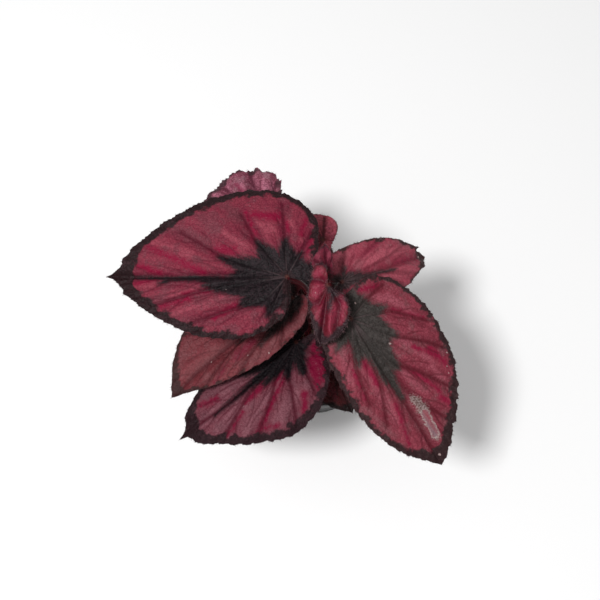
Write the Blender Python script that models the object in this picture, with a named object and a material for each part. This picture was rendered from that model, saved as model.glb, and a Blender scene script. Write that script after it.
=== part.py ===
"""Potted rex begonia: a small nursery pot of soil, a creeping rhizome, and ten leaves, each a blade on its own stalk.

Blender's units are metres. The sizes below are in millimetres and degrees, and MM turns them into metres.
The origin is the centre of the pot's underside, +Z is up, and -Y is the front.
"""

import math

import bmesh
import bpy
import numpy as np
from mathutils import Vector

MM = 0.001

# Clearance that touching pieces keep
GAP = 0.3

# Pot: a tapered wall with a wider band round its mouth, and a flat floor with drain holes
POT_HEIGHT = 62.0
POT_BASE_RADIUS = 25.0
POT_NECK_RADIUS = 32.0
POT_WALL = 1.3
POT_FLOOR = 1.6
BAND_RADIUS = 35.0
BAND_HEIGHT = 11.0
BAND_STEP = 1.6
LIP_ROUND = 0.6
DRAIN_COUNT = 6
DRAIN_RADIUS = 3.0
DRAIN_RING = 16.0
POT_SEGMENTS = 48

# Soil: fills the pot to a little under its rim, with a lightly uneven top
SOIL_LEVEL = 56.0
SOIL_CROWN = 1.2
SOIL_BUMP = 0.45
SOIL_RINGS = (0.18, 0.36, 0.54, 0.72, 0.88, 1.0)

# Rhizome: a short thick stem that lies along X, half sunk in the soil
RHIZOME_CENTRE = (0.0, 0.0, 58.0)
RHIZOME_HALF_LENGTH = 15.0
RHIZOME_RADIUS = 7.0
RHIZOME_RING = 0.25
RHIZOME_RINGS = 7
RHIZOME_SIDES = 20
RHIZOME_STATIONS = 24

# Blade: thickness, and how its edge and its quilting between the veins are drawn
BLADE_THICKNESS = 0.8
SINUS_HALF_GAP = 1.2
SHOULDER_POWER = 2 / 2.2
TIP_STARTS = 0.84
TIP_LENGTH = 0.10
LOBE_INNER = 0.6
VEINS_PER_HALF = 4
RING_SHARES = (0.26, 0.52, 0.76, 0.92, 1.0)
RING_DIVISORS = (4, 2, 2, 1, 1)

STALK_SIDES = 2
STALK_STEPS = 9
STALK_LEAN = 48.0

# Leaves. junction is where blade and stalk meet. heading is the midrib's compass direction, anticlockwise from +X,
# pitch its rise at the junction, roll the blade's turn about it, and bend how far it droops by the tip.
# fold is each half's rise at the midrib and arch how far it turns down by its edge, left then right.
# left and right give each half: its width, where it is widest, how far its lobe reaches back, how far out that is,
# and the power of its taper (near 1 is straight, and higher is fuller). drip is how much the tip draws in to a point.
# seat is the stalk's foot on the rhizome: the share of its half length, and degrees from its top towards the back.
LEAVES = {
    "leaf_left": dict(
        junction=(-15.3, 9.5, 128), heading=179.3, pitch=4.5, roll=-8, length=83, bend=20, fold=8,
        arch=(20, 32), left=(29.5, 29, 2, 7, 1.8), right=(43.5, 16, 14, 21, 1.8), drip=0.4,
        teeth=48, tooth=0.9, wave=0.8,
        quilt=1.0, seat=(-0.30, 2), stalk=(2.0, 1.4), reach=(34, 26),
    ),
    "leaf_front_right": dict(
        junction=(14, -6.5, 116), heading=-57.3, pitch=-7, roll=6, length=80, bend=24, fold=6,
        arch=(30, 24), left=(34.5, 25, 12.5, 15, 2.0), right=(21, 31, 9.5, 6, 2.2), drip=0.05,
        teeth=48, tooth=0.9, wave=0.8,
        quilt=1.0, seat=(0.64, -24), stalk=(2.0, 1.4), reach=(18, 18),
    ),
    "leaf_front_left": dict(
        junction=(-11.3, -12, 98), heading=-143, pitch=-3.5, roll=3, length=72.5, bend=22, fold=6,
        arch=(24, 22), left=(34.5, 25, 9, 3, 1.55), right=(22, 15, 12, 12, 1.6), drip=0.4,
        teeth=40, tooth=0.9, wave=0.9,
        quilt=1.0, seat=(-0.50, -50), stalk=(1.9, 1.3), reach=(14, 14),
    ),
    "leaf_low_left": dict(
        junction=(-12.7, 6, 110), heading=-142.5, pitch=-12, roll=14, length=73, bend=4, fold=6,
        arch=(26, 6), left=(16.5, 21, 5, 3, 1.8), right=(28, 40, 10, 12, 1.8), drip=0.2,
        teeth=36, tooth=0.5, wave=0.5,
        quilt=0.9, seat=(-0.66, 14), stalk=(1.9, 1.3), reach=(20, 14),
    ),
    "leaf_back_right": dict(
        junction=(10.5, 13.3, 112), heading=21, pitch=12, roll=6, length=50, bend=58, fold=6,
        arch=(22, 22), left=(16, 11, 6, 10, 2.8), right=(16, 7, 5, 7, 2.3), drip=0.0,
        teeth=32, tooth=0.6, wave=0.5,
        quilt=0.8, seat=(0.56, 36), stalk=(1.7, 1.2), reach=(18, 14),
    ),
    "leaf_back_left": dict(
        junction=(-27, 51, 104), heading=178, pitch=2.5, roll=0, length=37, bend=30, fold=6,
        arch=(20, 22), left=(18, 14, 8, 8, 1.8), right=(28, 8, 8, 16, 1.8), drip=0.2,
        teeth=32, tooth=1.3, wave=0.9,
        quilt=0.7, seat=(-0.42, 58), stalk=(1.6, 1.1), reach=(22, 24),
    ),
    "leaf_back": dict(
        junction=(1.9, 38.5, 104), heading=161, pitch=3.3, roll=0, length=30, bend=30, fold=6,
        arch=(20, 20), left=(12, 10, 5, 8, 1.8), right=(13.5, 1.5, 5, 3, 1.8), drip=0.3,
        teeth=24, tooth=0.3, wave=0.3,
        quilt=0.5, seat=(0.10, 62), stalk=(1.4, 1.0), reach=(20, 18),
    ),
    "leaf_young": dict(
        junction=(3.2, 4.6, 131), heading=-98, pitch=-11.5, roll=0, length=27.5, bend=20, fold=6,
        arch=(30, 30), left=(11, 12, 2, 3, 2.0), right=(8.8, 2, 8.5, 6, 1.6), drip=0.3,
        teeth=24, tooth=0.6, wave=0.5,
        quilt=0.7, seat=(0.16, -10), stalk=(1.4, 1.0), reach=(30, 14),
    ),
    "leaf_bud": dict(
        junction=(3.1, 14.0, 125.5), heading=98, pitch=59, roll=0, length=15, bend=20, fold=20,
        arch=(10, 10), left=(8, 6.5, 2, 3, 1.8), right=(3.5, 8, 2, 2, 1.8), drip=0.4,
        teeth=16, tooth=0.4, wave=0.3,
        quilt=0.4, seat=(0.03, 24), stalk=(1.1, 0.8), reach=(20, 14),
    ),
    "leaf_front_low": dict(
        junction=(2.8, -14, 88), heading=-64, pitch=-12, roll=0, length=33, bend=20, fold=6,
        arch=(20, 20), left=(14, 14, 6, 6, 1.8), right=(14, 14, 6, 6, 1.8), drip=0.3,
        teeth=28, tooth=0.6, wave=0.5,
        quilt=0.6, seat=(0.12, -58), stalk=(1.6, 1.1), reach=(8, 8),
    ),
}

COLOURS = {
    "pot": ((0.030, 0.030, 0.032), 0.55),
    "soil": ((0.045, 0.028, 0.018), 0.95),
    "rhizome": ((0.20, 0.09, 0.06), 0.75),
    "stalk": ((0.16, 0.02, 0.02), 0.6),
    "blade": ((0.20, 0.01, 0.03), 0.5),
}


def clear_scene():
    for obj in list(bpy.data.objects):
        bpy.data.objects.remove(obj, do_unlink=True)


def make_materials():
    made = {}
    for name, (colour, roughness) in COLOURS.items():
        material = bpy.data.materials.new(name)
        material.use_nodes = True
        shader = material.node_tree.nodes["Principled BSDF"]
        shader.inputs["Base Color"].default_value = (*colour, 1.0)
        shader.inputs["Roughness"].default_value = roughness
        shader.inputs["Metallic"].default_value = 0.0
        made[name] = material
    return made


def add_object(name, data, material, smooth_angle=40.0):
    """Links a new object with that mesh or curve and its one material."""
    data.materials.append(material)
    obj = bpy.data.objects.new(name, data)
    bpy.context.scene.collection.objects.link(obj)
    if obj.type == "MESH":
        data.shade_smooth()
        data.set_sharp_from_angle(angle=math.radians(smooth_angle))
    return obj


def mesh_from(name, points_mm, faces):
    """A mesh of those points and faces, with its normals turned to agree and, on a closed one, to face out."""
    mesh = bpy.data.meshes.new(name)
    mesh.from_pydata([tuple(p) for p in np.asarray(points_mm) * MM], [], faces)
    bm = bmesh.new()
    bm.from_mesh(mesh)
    bmesh.ops.recalc_face_normals(bm, faces=bm.faces)
    bm.to_mesh(mesh)
    bm.free()
    return mesh


def cut(obj, cutter):
    """Cuts cutter out of obj, and keeps it as a hidden helper."""
    cutter.hide_render = True
    cutter.display_type = "WIRE"
    boolean = obj.modifiers.new("Cut " + cutter.name, "BOOLEAN")
    boolean.operation = "DIFFERENCE"
    boolean.solver = "EXACT"
    boolean.object = cutter


def turned(name, profile_mm, segments):
    """A closed mesh turned about Z from a profile of (radius, height), which starts and ends on the axis."""
    bm = bmesh.new()
    verts = [bm.verts.new((r * MM, 0, z * MM)) for r, z in profile_mm]
    edges = [bm.edges.new(pair) for pair in zip(verts, verts[1:])]
    bmesh.ops.spin(
        bm, geom=verts + edges, cent=(0, 0, 0), axis=(0, 0, 1), angle=math.tau, steps=segments
    )
    bmesh.ops.remove_doubles(bm, verts=bm.verts, dist=1e-6)
    bmesh.ops.recalc_face_normals(bm, faces=bm.faces)
    mesh = bpy.data.meshes.new(name)
    bm.to_mesh(mesh)
    bm.free()
    return mesh


def wall_radius(z):
    """The pot's outer radius at a height below its band."""
    share = z / (POT_HEIGHT - BAND_HEIGHT)
    return POT_BASE_RADIUS + (POT_NECK_RADIUS - POT_BASE_RADIUS) * share


def inner_radius(z):
    """The pot's inner radius: it follows the wall, and carries on straight inside the band."""
    return wall_radius(z) - POT_WALL


def build_pot(material):
    neck = POT_HEIGHT - BAND_HEIGHT
    mouth = inner_radius(POT_HEIGHT)
    profile = [
        (0, 0),
        (POT_BASE_RADIUS - LIP_ROUND, 0),
        (POT_BASE_RADIUS, LIP_ROUND),
        (wall_radius(neck), neck),
        (BAND_RADIUS - BAND_STEP, neck + BAND_STEP * 0.4),
        (BAND_RADIUS - BAND_STEP * 0.6, neck + BAND_STEP),
        (BAND_RADIUS - LIP_ROUND, POT_HEIGHT - LIP_ROUND * 3),
        (BAND_RADIUS, POT_HEIGHT - LIP_ROUND * 2),
        (BAND_RADIUS - LIP_ROUND * 0.5, POT_HEIGHT - LIP_ROUND * 0.3),
        (BAND_RADIUS - LIP_ROUND * 1.5, POT_HEIGHT),
        (mouth + LIP_ROUND, POT_HEIGHT),
        (mouth, POT_HEIGHT - LIP_ROUND),
        (inner_radius(POT_FLOOR), POT_FLOOR),
        (0, POT_FLOOR),
    ]
    pot = add_object("pot", turned("pot", profile, POT_SEGMENTS), material)
    bm = bmesh.new()
    for i in range(DRAIN_COUNT):
        angle = math.tau * (i + 0.5) / DRAIN_COUNT
        made = bmesh.ops.create_cone(
            bm, cap_ends=True, segments=16, radius1=DRAIN_RADIUS * MM, radius2=DRAIN_RADIUS * MM,
            depth=POT_FLOOR * 4 * MM,
        )
        place = (DRAIN_RING * math.cos(angle) * MM, DRAIN_RING * math.sin(angle) * MM, 0)
        bmesh.ops.translate(bm, verts=made["verts"], vec=place)
    drains = bpy.data.meshes.new("drain_cutter")
    bm.to_mesh(drains)
    bm.free()
    cut(pot, add_object("drain_cutter", drains, material))
    return pot


def soil_height(x, y):
    """The soil's top: a low crown, with soft lumps from a few crossed waves."""
    r = np.hypot(x, y) / inner_radius(SOIL_LEVEL)
    lumps = np.sin(0.61 * x + 0.9) * np.cos(0.53 * y - 0.4) + 0.6 * np.sin(0.37 * x - 0.71 * y + 2.0)
    return SOIL_LEVEL + SOIL_CROWN * (1 - r**2) + SOIL_BUMP * lumps * (1 - r**6)


def build_soil(material):
    """Rings of points down from the middle of the top, and round the foot: the side slopes as the pot's wall."""
    angles = np.arange(POT_SEGMENTS) * math.tau / POT_SEGMENTS
    rim = inner_radius(SOIL_LEVEL) - GAP
    foot = inner_radius(POT_FLOOR + GAP) - GAP
    points = [(0, 0, float(soil_height(0.0, 0.0)))]
    for share in SOIL_RINGS:
        x, y = rim * share * np.cos(angles), rim * share * np.sin(angles)
        points += list(zip(x, y, soil_height(x, y)))
    points += [(foot * math.cos(a), foot * math.sin(a), POT_FLOOR + GAP) for a in angles]
    points.append((0, 0, POT_FLOOR + GAP))
    n, rings = POT_SEGMENTS, len(SOIL_RINGS) + 1
    faces = [(0, 1 + k, 1 + (k + 1) % n) for k in range(n)]
    for ring in range(rings - 1):
        a, b = 1 + ring * n, 1 + (ring + 1) * n
        faces += [(a + k, b + k, b + (k + 1) % n, a + (k + 1) % n) for k in range(n)]
    last = 1 + (rings - 1) * n
    faces += [(last + (k + 1) % n, last + k, len(points) - 1) for k in range(n)]
    soil = add_object("soil", mesh_from("soil", points, faces), material)
    hollow = mesh_from("rhizome_cutter", *rhizome_shell(GAP))
    cut(soil, add_object("rhizome_cutter", hollow, material))
    return soil


def rhizome_radius(share):
    """Round ends, with low rings where old leaves grew. share runs from -1 to 1 along it."""
    return RHIZOME_RADIUS * np.sqrt(1 - share**2) + RHIZOME_RING * np.cos(RHIZOME_RINGS * math.pi * share)


def rhizome_shell(grow):
    """Points and faces of the rhizome, grown outwards by that much."""
    turns = np.linspace(0, math.pi, RHIZOME_STATIONS + 1)[1:-1]
    angles = np.arange(RHIZOME_SIDES) * math.tau / RHIZOME_SIDES
    cx, cy, cz = RHIZOME_CENTRE
    half = RHIZOME_HALF_LENGTH + grow
    points = []
    for share in -np.cos(turns):
        radius = rhizome_radius(share) + grow
        points += [(cx + half * share, cy + radius * math.sin(a), cz + radius * math.cos(a)) for a in angles]
    points += [(cx - half, cy, cz), (cx + half, cy, cz)]
    n, stations = RHIZOME_SIDES, len(turns)
    faces = []
    for i in range(stations - 1):
        a, b = i * n, (i + 1) * n
        faces += [(a + k, a + (k + 1) % n, b + (k + 1) % n, b + k) for k in range(n)]
    low, high, last = len(points) - 2, len(points) - 1, (stations - 1) * n
    faces += [(low, (k + 1) % n, k) for k in range(n)]
    faces += [(high, last + k, last + (k + 1) % n) for k in range(n)]
    return points, faces


def build_rhizome(material):
    return add_object("rhizome", mesh_from("rhizome", *rhizome_shell(0.0)), material)


def half_edge(length, drip, wide, widest, lobe, lobe_out, taper):
    """One half of a blade's edge as (along, across): the lobe's inner curve, its shoulder, then its run to the tip."""
    share = np.linspace(0, 1, 160)
    turn = share * math.pi / 2
    inner = np.stack(
        [-lobe * (LOBE_INNER + (1 - LOBE_INNER) * np.sin(turn)),
         lobe_out - (lobe_out - SINUS_HALF_GAP) * np.cos(turn)], axis=-1
    )
    shoulder = np.stack(
        [widest - (widest + lobe) * np.cos(turn) ** SHOULDER_POWER,
         lobe_out + (wide - lobe_out) * np.sin(turn) ** SHOULDER_POWER], axis=-1
    )
    near_tip = np.clip((share - TIP_STARTS) / TIP_LENGTH, 0, 1)
    narrowing = 1 - drip * near_tip**2 * (3 - 2 * near_tip)
    run = np.stack(
        [widest + (length - widest) * share, wide * (1 - share**taper) * narrowing], axis=-1
    )
    return np.vstack([inner, shoulder[1:], run[1:]])


def evenly(points, count):
    """count + 1 points spaced evenly along a line of points."""
    steps = np.linalg.norm(np.diff(points, axis=0), axis=1)
    along = np.concatenate([[0], np.cumsum(steps)])
    wanted = np.linspace(0, along[-1], count + 1)
    return np.stack([np.interp(wanted, along, points[:, i]) for i in (0, 1)], axis=-1)


def blade_edge(leaf):
    """The blade's whole edge, from the sinus round the left half to the tip and back round the right half."""
    left = evenly(half_edge(leaf["length"], leaf["drip"], *leaf["left"]), leaf["teeth"])
    right = evenly(half_edge(leaf["length"], leaf["drip"], *leaf["right"]), leaf["teeth"])
    right[:, 1] *= -1
    return np.vstack([left, right[::-1][1:]])


def bent(along, across, lift, leaf):
    """Bends flat blade points: the midrib droops on an arc, and each half rises from it and turns down to its edge."""
    droop = math.radians(leaf["bend"]) * along / leaf["length"]
    radius = leaf["length"] / math.radians(leaf["bend"])
    side = np.where(across >= 0, 1.0, -1.0)
    width = np.where(across >= 0, leaf["left"][0], leaf["right"][0])
    arch = np.radians(np.where(across >= 0, leaf["arch"][0], leaf["arch"][1]))
    fold = math.radians(leaf["fold"])
    slope = fold - arch * np.abs(across) / width
    out = side * width / arch * (math.sin(fold) - np.sin(slope))
    rise = width / arch * (np.cos(slope) - math.cos(fold)) + lift
    return np.stack(
        [radius * np.sin(droop) + np.sin(droop) * rise, out,
         -radius * (1 - np.cos(droop)) + np.cos(droop) * rise], axis=-1
    )


def leaf_axes(leaf):
    """The blade's directions at its junction: along the midrib, to its left, and off its upper face."""
    heading, pitch, roll = (math.radians(leaf[k]) for k in ("heading", "pitch", "roll"))
    along = np.array(
        [math.cos(heading) * math.cos(pitch), math.sin(heading) * math.cos(pitch), math.sin(pitch)]
    )
    level = np.array([-math.sin(heading), math.cos(heading), 0.0])
    left = level * math.cos(roll) + np.cross(along, level) * math.sin(roll)
    return along, left, np.cross(along, left)


def on_leaf(flat, lift, leaf):
    """Flat blade points, as (along, across), carried to their place on the plant."""
    local = bent(flat[..., 0], flat[..., 1], lift, leaf)
    return np.array(leaf["junction"], float) + local @ np.array(leaf_axes(leaf))


def strip(inner, outer):
    """Triangles between two rows of vertex numbers, where outer has as many steps as inner or twice as many."""
    double = len(outer) > len(inner)
    faces = []
    for k in range(len(inner) - 1):
        a, b = inner[k], inner[k + 1]
        if double:
            p, q, r = outer[2 * k : 2 * k + 3]
            faces += [(a, p, q), (a, q, b), (b, q, r)]
        else:
            p, q = outer[k : k + 2]
            faces += [(a, p, q), (a, q, b)] if k % 2 else [(a, p, b), (b, p, q)]
    return faces


def build_blade(name, leaf, material):
    """A thin blade: rows of points from the junction out to the toothed edge, thickened both ways."""
    edge = blade_edge(leaf)
    steps = len(edge) - 1
    turn = np.linspace(0, 1, steps + 1)
    reach = np.linalg.norm(edge, axis=1, keepdims=True)
    tooth = np.where(np.arange(steps + 1) % 2 == 0, 0.5, -0.5)[:, None] * leaf["tooth"]
    toothed = edge * (1 + np.clip(tooth / reach, -0.2, 0.2))
    points, rows = [on_leaf(np.zeros((1, 2)), 0.0, leaf)], [[0]]
    for share, divisor in zip(RING_SHARES, RING_DIVISORS):
        row = (toothed if share == 1.0 else edge)[::divisor] * share
        here = turn[::divisor]
        quilt = leaf["quilt"] * np.sin(math.pi * 2 * VEINS_PER_HALF * here) ** 2 * share * (1.1 - share)
        wave = leaf["wave"] * np.sin(math.tau * 7 * here + leaf["heading"]) * share**4
        first = sum(len(p) for p in points)
        points.append(on_leaf(row, 3 * quilt + wave, leaf))
        rows.append(list(range(first, first + len(row))))
    faces = [(0, a, b) for a, b in zip(rows[1], rows[1][1:])]
    for inner, outer in zip(rows[1:], rows[2:]):
        faces += strip(inner, outer)
    blade = add_object(name, mesh_from(name, np.vstack(points), faces), material, 60.0)
    solid = blade.modifiers.new("Thickness", "SOLIDIFY")
    solid.thickness = BLADE_THICKNESS * MM
    solid.offset = 0.0
    return blade


def seat_on_rhizome(share, degrees):
    """A point on the rhizome, and the direction straight off it there."""
    turn = math.radians(degrees)
    radius = RHIZOME_RADIUS * math.sqrt(1 - share**2)
    point = np.array(RHIZOME_CENTRE) + np.array(
        [RHIZOME_HALF_LENGTH * share, radius * math.sin(turn), radius * math.cos(turn)]
    )
    off = np.array(
        [share / RHIZOME_HALF_LENGTH, math.sqrt(1 - share**2) * math.sin(turn) / RHIZOME_RADIUS,
         math.sqrt(1 - share**2) * math.cos(turn) / RHIZOME_RADIUS]
    )
    return point, off / np.linalg.norm(off)


def build_stalk(name, leaf, material):
    """A tapering stalk that leaves the rhizome square to it, and comes up under the blade from behind."""
    along, _, up = leaf_axes(leaf)
    foot_radius, top_radius = leaf["stalk"]
    foot, off = seat_on_rhizome(*leaf["seat"])
    foot = foot + off * (GAP + RHIZOME_RING)
    lean = math.radians(STALK_LEAN)
    arrive = up * math.cos(lean) + along * math.sin(lean)
    drop = BLADE_THICKNESS / 2 + GAP + top_radius * math.sin(lean)
    top = np.array(leaf["junction"], float) - up * drop
    curve = bpy.data.curves.new(name, "CURVE")
    curve.dimensions = "3D"
    curve.bevel_depth = 1.0 * MM
    curve.bevel_resolution = STALK_SIDES
    curve.use_fill_caps = True
    curve.resolution_u = STALK_STEPS
    spline = curve.splines.new("BEZIER")
    spline.bezier_points.add(1)
    rise, run = leaf["reach"]
    for knot, place, handle, radius in (
        (spline.bezier_points[0], foot, off * rise, foot_radius),
        (spline.bezier_points[1], top, arrive * run, top_radius),
    ):
        knot.handle_left_type = knot.handle_right_type = "FREE"
        knot.co = Vector(place * MM)
        knot.handle_left = Vector((place - handle) * MM)
        knot.handle_right = Vector((place + handle) * MM)
        knot.radius = radius
    return add_object(name, curve, material)


def main():
    clear_scene()
    materials = make_materials()
    build_pot(materials["pot"])
    build_soil(materials["soil"])
    build_rhizome(materials["rhizome"])
    for name, leaf in LEAVES.items():
        build_blade(name + "_blade", leaf, materials["blade"])
        build_stalk(name + "_stalk", leaf, materials["stalk"])


main()
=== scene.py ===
import math

import bpy
import numpy as np
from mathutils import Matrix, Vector


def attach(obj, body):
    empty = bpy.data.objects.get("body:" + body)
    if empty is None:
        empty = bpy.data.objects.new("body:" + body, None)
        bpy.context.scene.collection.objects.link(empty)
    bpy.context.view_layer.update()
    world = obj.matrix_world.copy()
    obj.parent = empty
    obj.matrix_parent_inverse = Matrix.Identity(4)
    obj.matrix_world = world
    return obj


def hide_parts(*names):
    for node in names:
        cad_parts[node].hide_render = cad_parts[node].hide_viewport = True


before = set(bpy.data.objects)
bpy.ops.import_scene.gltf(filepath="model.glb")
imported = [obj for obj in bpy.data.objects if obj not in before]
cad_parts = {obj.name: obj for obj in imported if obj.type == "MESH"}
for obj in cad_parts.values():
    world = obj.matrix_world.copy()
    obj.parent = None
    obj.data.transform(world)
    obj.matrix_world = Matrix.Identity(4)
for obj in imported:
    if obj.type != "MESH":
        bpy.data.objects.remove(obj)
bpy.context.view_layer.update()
mm = 0.001
tau = math.tau
print("frame:", len(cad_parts), "nodes")

# Camera, light and floor

view = dict(
    place=(-0.0094, -0.1291, 0.4784), elevation=70.0, lens=50.0,
    keyPlace=(-0.43, -0.27, 1.18), keyAim=(0.0, 0.0, 0.08), keySize=0.26, keyPower=11.5,
    skyStrength=0.50, skyColour=(1.0, 1.0, 1.0), floorSize=6.0, floorColour=(0.93, 0.93, 0.93),
)


def makeView():
    lens = bpy.data.cameras.new("camera")
    lens.lens = view["lens"]
    lens.sensor_width = 36.0
    lens.clip_start, lens.clip_end = 0.01, 50.0
    camera = bpy.data.objects.new("camera", lens)
    camera.location = view["place"]
    camera.rotation_euler = (math.radians(90.0 - view["elevation"]), 0.0, 0.0)
    bpy.context.scene.collection.objects.link(camera)
    bpy.context.scene.camera = camera
    key = bpy.data.lights.new("keyLight", "AREA")
    key.shape = "DISK"
    key.size = view["keySize"]
    key.energy = view["keyPower"]
    lamp = bpy.data.objects.new("keyLight", key)
    lamp.location = view["keyPlace"]
    aim = Vector(view["keyAim"]) - Vector(view["keyPlace"])
    lamp.rotation_euler = aim.to_track_quat("-Z", "Y").to_euler()
    bpy.context.scene.collection.objects.link(lamp)
    sky = bpy.data.worlds.new("studio")
    sky.use_nodes = True
    sky.node_tree.nodes["Background"].inputs["Color"].default_value = (*view["skyColour"], 1.0)
    sky.node_tree.nodes["Background"].inputs["Strength"].default_value = view["skyStrength"]
    bpy.context.scene.world = sky
    bpy.context.scene.view_settings.view_transform = "Standard"


# Node helpers: each one adds a node and gives back its output

def wire(tree, made, socket, value):
    if isinstance(value, bpy.types.NodeSocket):
        tree.links.new(value, made.inputs[socket])
    else:
        made.inputs[socket].default_value = value


def newMaterial(name):
    material = bpy.data.materials.new(name)
    material.use_nodes = True
    return material, material.node_tree, material.node_tree.nodes["Principled BSDF"]


def attribute(tree, name, outlet="Fac"):
    made = tree.nodes.new("ShaderNodeAttribute")
    made.attribute_name = name
    return made.outputs[outlet]


def objectPlace(tree):
    return tree.nodes.new("ShaderNodeTexCoord").outputs["Object"]


def calc(tree, operation, first, second=0.0, third=0.0):
    made = tree.nodes.new("ShaderNodeMath")
    made.operation = operation
    for socket, value in enumerate((first, second, third)):
        wire(tree, made, socket, value)
    return made.outputs[0]


def stretched(tree, vector, scale):
    made = tree.nodes.new("ShaderNodeMapping")
    wire(tree, made, "Vector", vector)
    made.inputs["Scale"].default_value = scale
    return made.outputs[0]


def noise(tree, vector, scale, detail=3.0, roughness=0.55, distortion=0.0):
    made = tree.nodes.new("ShaderNodeTexNoise")
    wire(tree, made, "Vector", vector)
    for socket, value in (("Scale", scale), ("Detail", detail), ("Roughness", roughness),
                          ("Distortion", distortion)):
        made.inputs[socket].default_value = value
    return made.outputs["Fac"]


def cells(tree, vector, scale, feature="DISTANCE_TO_EDGE"):
    made = tree.nodes.new("ShaderNodeTexVoronoi")
    made.feature = feature
    wire(tree, made, "Vector", vector)
    made.inputs["Scale"].default_value = scale
    return made.outputs["Distance"]


def warped(tree, vector, scale, amount):
    # the vector, moved by a noise of its own in each direction
    drift, shift = tree.nodes.new("ShaderNodeTexNoise"), tree.nodes.new("ShaderNodeVectorMath")
    wire(tree, drift, "Vector", vector)
    drift.inputs["Scale"].default_value = scale
    shift.operation = "MULTIPLY_ADD"
    tree.links.new(drift.outputs["Color"], shift.inputs[0])
    shift.inputs[1].default_value = (amount, amount, 0.0)
    wire(tree, shift, 2, vector)
    return shift.outputs[0]


def fade(tree, value, low, high, top=1.0):
    made = tree.nodes.new("ShaderNodeMapRange")
    made.interpolation_type = "SMOOTHSTEP"
    for socket, amount in (("Value", value), ("From Min", low), ("From Max", high), ("To Max", top)):
        wire(tree, made, socket, amount)
    return made.outputs[0]


def mixed(tree, share, first, second):
    made = tree.nodes.new("ShaderNodeMix")
    made.data_type = "RGBA"
    wire(tree, made, 0, share)
    for socket, value in ((6, first), (7, second)):
        wire(tree, made, socket, (*value, 1.0) if isinstance(value, tuple) else value)
    return made.outputs[2]


def ragged(tree, field, rough, amount, soft, top=1.0):
    # a field's zero line, moved by noise: 1 inside and 0 outside
    moved = calc(tree, "MULTIPLY_ADD", calc(tree, "SUBTRACT", rough, 0.5), amount, field)
    return fade(tree, moved, -soft, soft, top)


def bumped(tree, shader, height, depth, strength=1.0):
    made = tree.nodes.new("ShaderNodeBump")
    made.inputs["Strength"].default_value = strength
    made.inputs["Distance"].default_value = depth
    wire(tree, made, "Height", height)
    tree.links.new(made.outputs["Normal"], shader.inputs["Normal"])


# Mesh helpers

def waves(x, y, pitch, seed, count=10):
    # a sum of sine waves of about that pitch, each with its own direction and phase, from about -1 to 1
    rng = np.random.default_rng(seed)
    total = 0.0
    for turn, phase, stretch in rng.uniform((0, 0, 0.6), (tau, tau, 1.5), (count, 3)):
        total = total + np.sin((x * np.cos(turn) + y * np.sin(turn)) * tau / (pitch * stretch) + phase)
    return total * 0.8 / count**0.5


def makePiece(name, points, faces, materials, replaced=(), smooth=True):
    # faces is a list of number arrays, all of one length in each; a shell whose volume is negative is turned round
    points = np.asarray(points, float)
    volume = 0.0
    for part in faces:
        for k in range(1, part.shape[1] - 1):
            first, second, third = points[part[:, 0]], points[part[:, k]], points[part[:, k + 1]]
            volume += np.einsum("ij,ij->", first, np.cross(second, third))
    if volume < 0:
        faces = [part[:, ::-1] for part in faces]
    mesh = bpy.data.meshes.new(name)
    mesh.from_pydata((points * mm).tolist(), [], [face for part in faces for face in part.tolist()])
    mesh.polygons.foreach_set("use_smooth", np.full(len(mesh.polygons), smooth))
    for material in materials:
        mesh.materials.append(material)
    piece = bpy.data.objects.new(name, mesh)
    bpy.context.scene.collection.objects.link(piece)
    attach(piece, "root")
    if replaced:
        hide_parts(*replaced)
    return piece


def writeField(piece, name, values):
    values = np.asarray(values, np.float32)
    kind, key = ("FLOAT_VECTOR", "vector") if values.ndim == 2 else ("FLOAT", "value")
    piece.data.attributes.new(name, kind, "POINT").data.foreach_set(key, values.ravel())


def unit(vectors):
    return vectors / np.maximum(np.linalg.norm(vectors, axis=-1, keepdims=True), 1e-9)


def ringFaces(rings, sides):
    # quads between rings of points that close on themselves, then a fan from the first and the last point to its ring
    k = np.arange(sides)
    after = (k + 1) % sides
    starts = np.arange(rings - 1)[:, None] * sides
    quads = np.stack([starts + k, starts + after, starts + sides + after, starts + sides + k], axis=-1)
    first, last, low = rings * sides, rings * sides + 1, (rings - 1) * sides
    fans = np.vstack([
        np.stack([np.full(sides, first), after, k], axis=-1),
        np.stack([np.full(sides, last), low + k, low + after], axis=-1),
    ])
    return [quads.reshape(-1, 4), fans]


def hairPiece(name, roots, ways, lengths, thick, material, seed):
    # each hair is a three sided spike on a bent line: a ring at the root, a thinner one half way, and a point
    rng = np.random.default_rng(seed)
    count = len(roots)
    ways = unit(ways)
    side = unit(np.cross(ways, unit(rng.normal(size=(count, 3)))))
    other = np.cross(ways, side)
    curl = side * (lengths * rng.uniform(0.05, 0.35, count))[:, None]
    turn = np.arange(3) * tau / 3
    ring = np.cos(turn)[:, None, None] * side + np.sin(turn)[:, None, None] * other
    middle = roots + ways * (lengths * 0.5)[:, None] + curl * 0.35
    points = np.concatenate([
        roots - ways * 0.1 + ring * thick, middle + ring * thick * 0.75,
        (roots + ways * lengths[:, None] + curl)[None],
    ]).transpose(1, 0, 2).reshape(-1, 3)
    base = (np.arange(count) * 7)[:, None, None]
    quads = base + np.array([[0, 1, 4, 3], [1, 2, 5, 4], [2, 0, 3, 5]])
    tips = base + np.array([[3, 4, 6], [4, 5, 6], [5, 3, 6], [0, 2, 1]])
    return makePiece(name, points, [quads.reshape(-1, 4), tips.reshape(-1, 3)], [material])


# Leaves. The first rows of each dictionary are the leaf's form as the part's source has it, in millimetres and
# degrees. bands: the dark margin's width at places along each half. veins: main veins from the junction, as
# (along, across). star, crimson, bright, paintedSheen: strokes (along, across, along, across, half width, half width)
# in which the colour lies. bright is the leaf's own pink, partly painted highlight; crimson the leaf's own crimson,
# partly painted shade in the vein grooves; paintedSheen a painted sheen that turns the red mauve.
# flecks: (along, across, radius).

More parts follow.
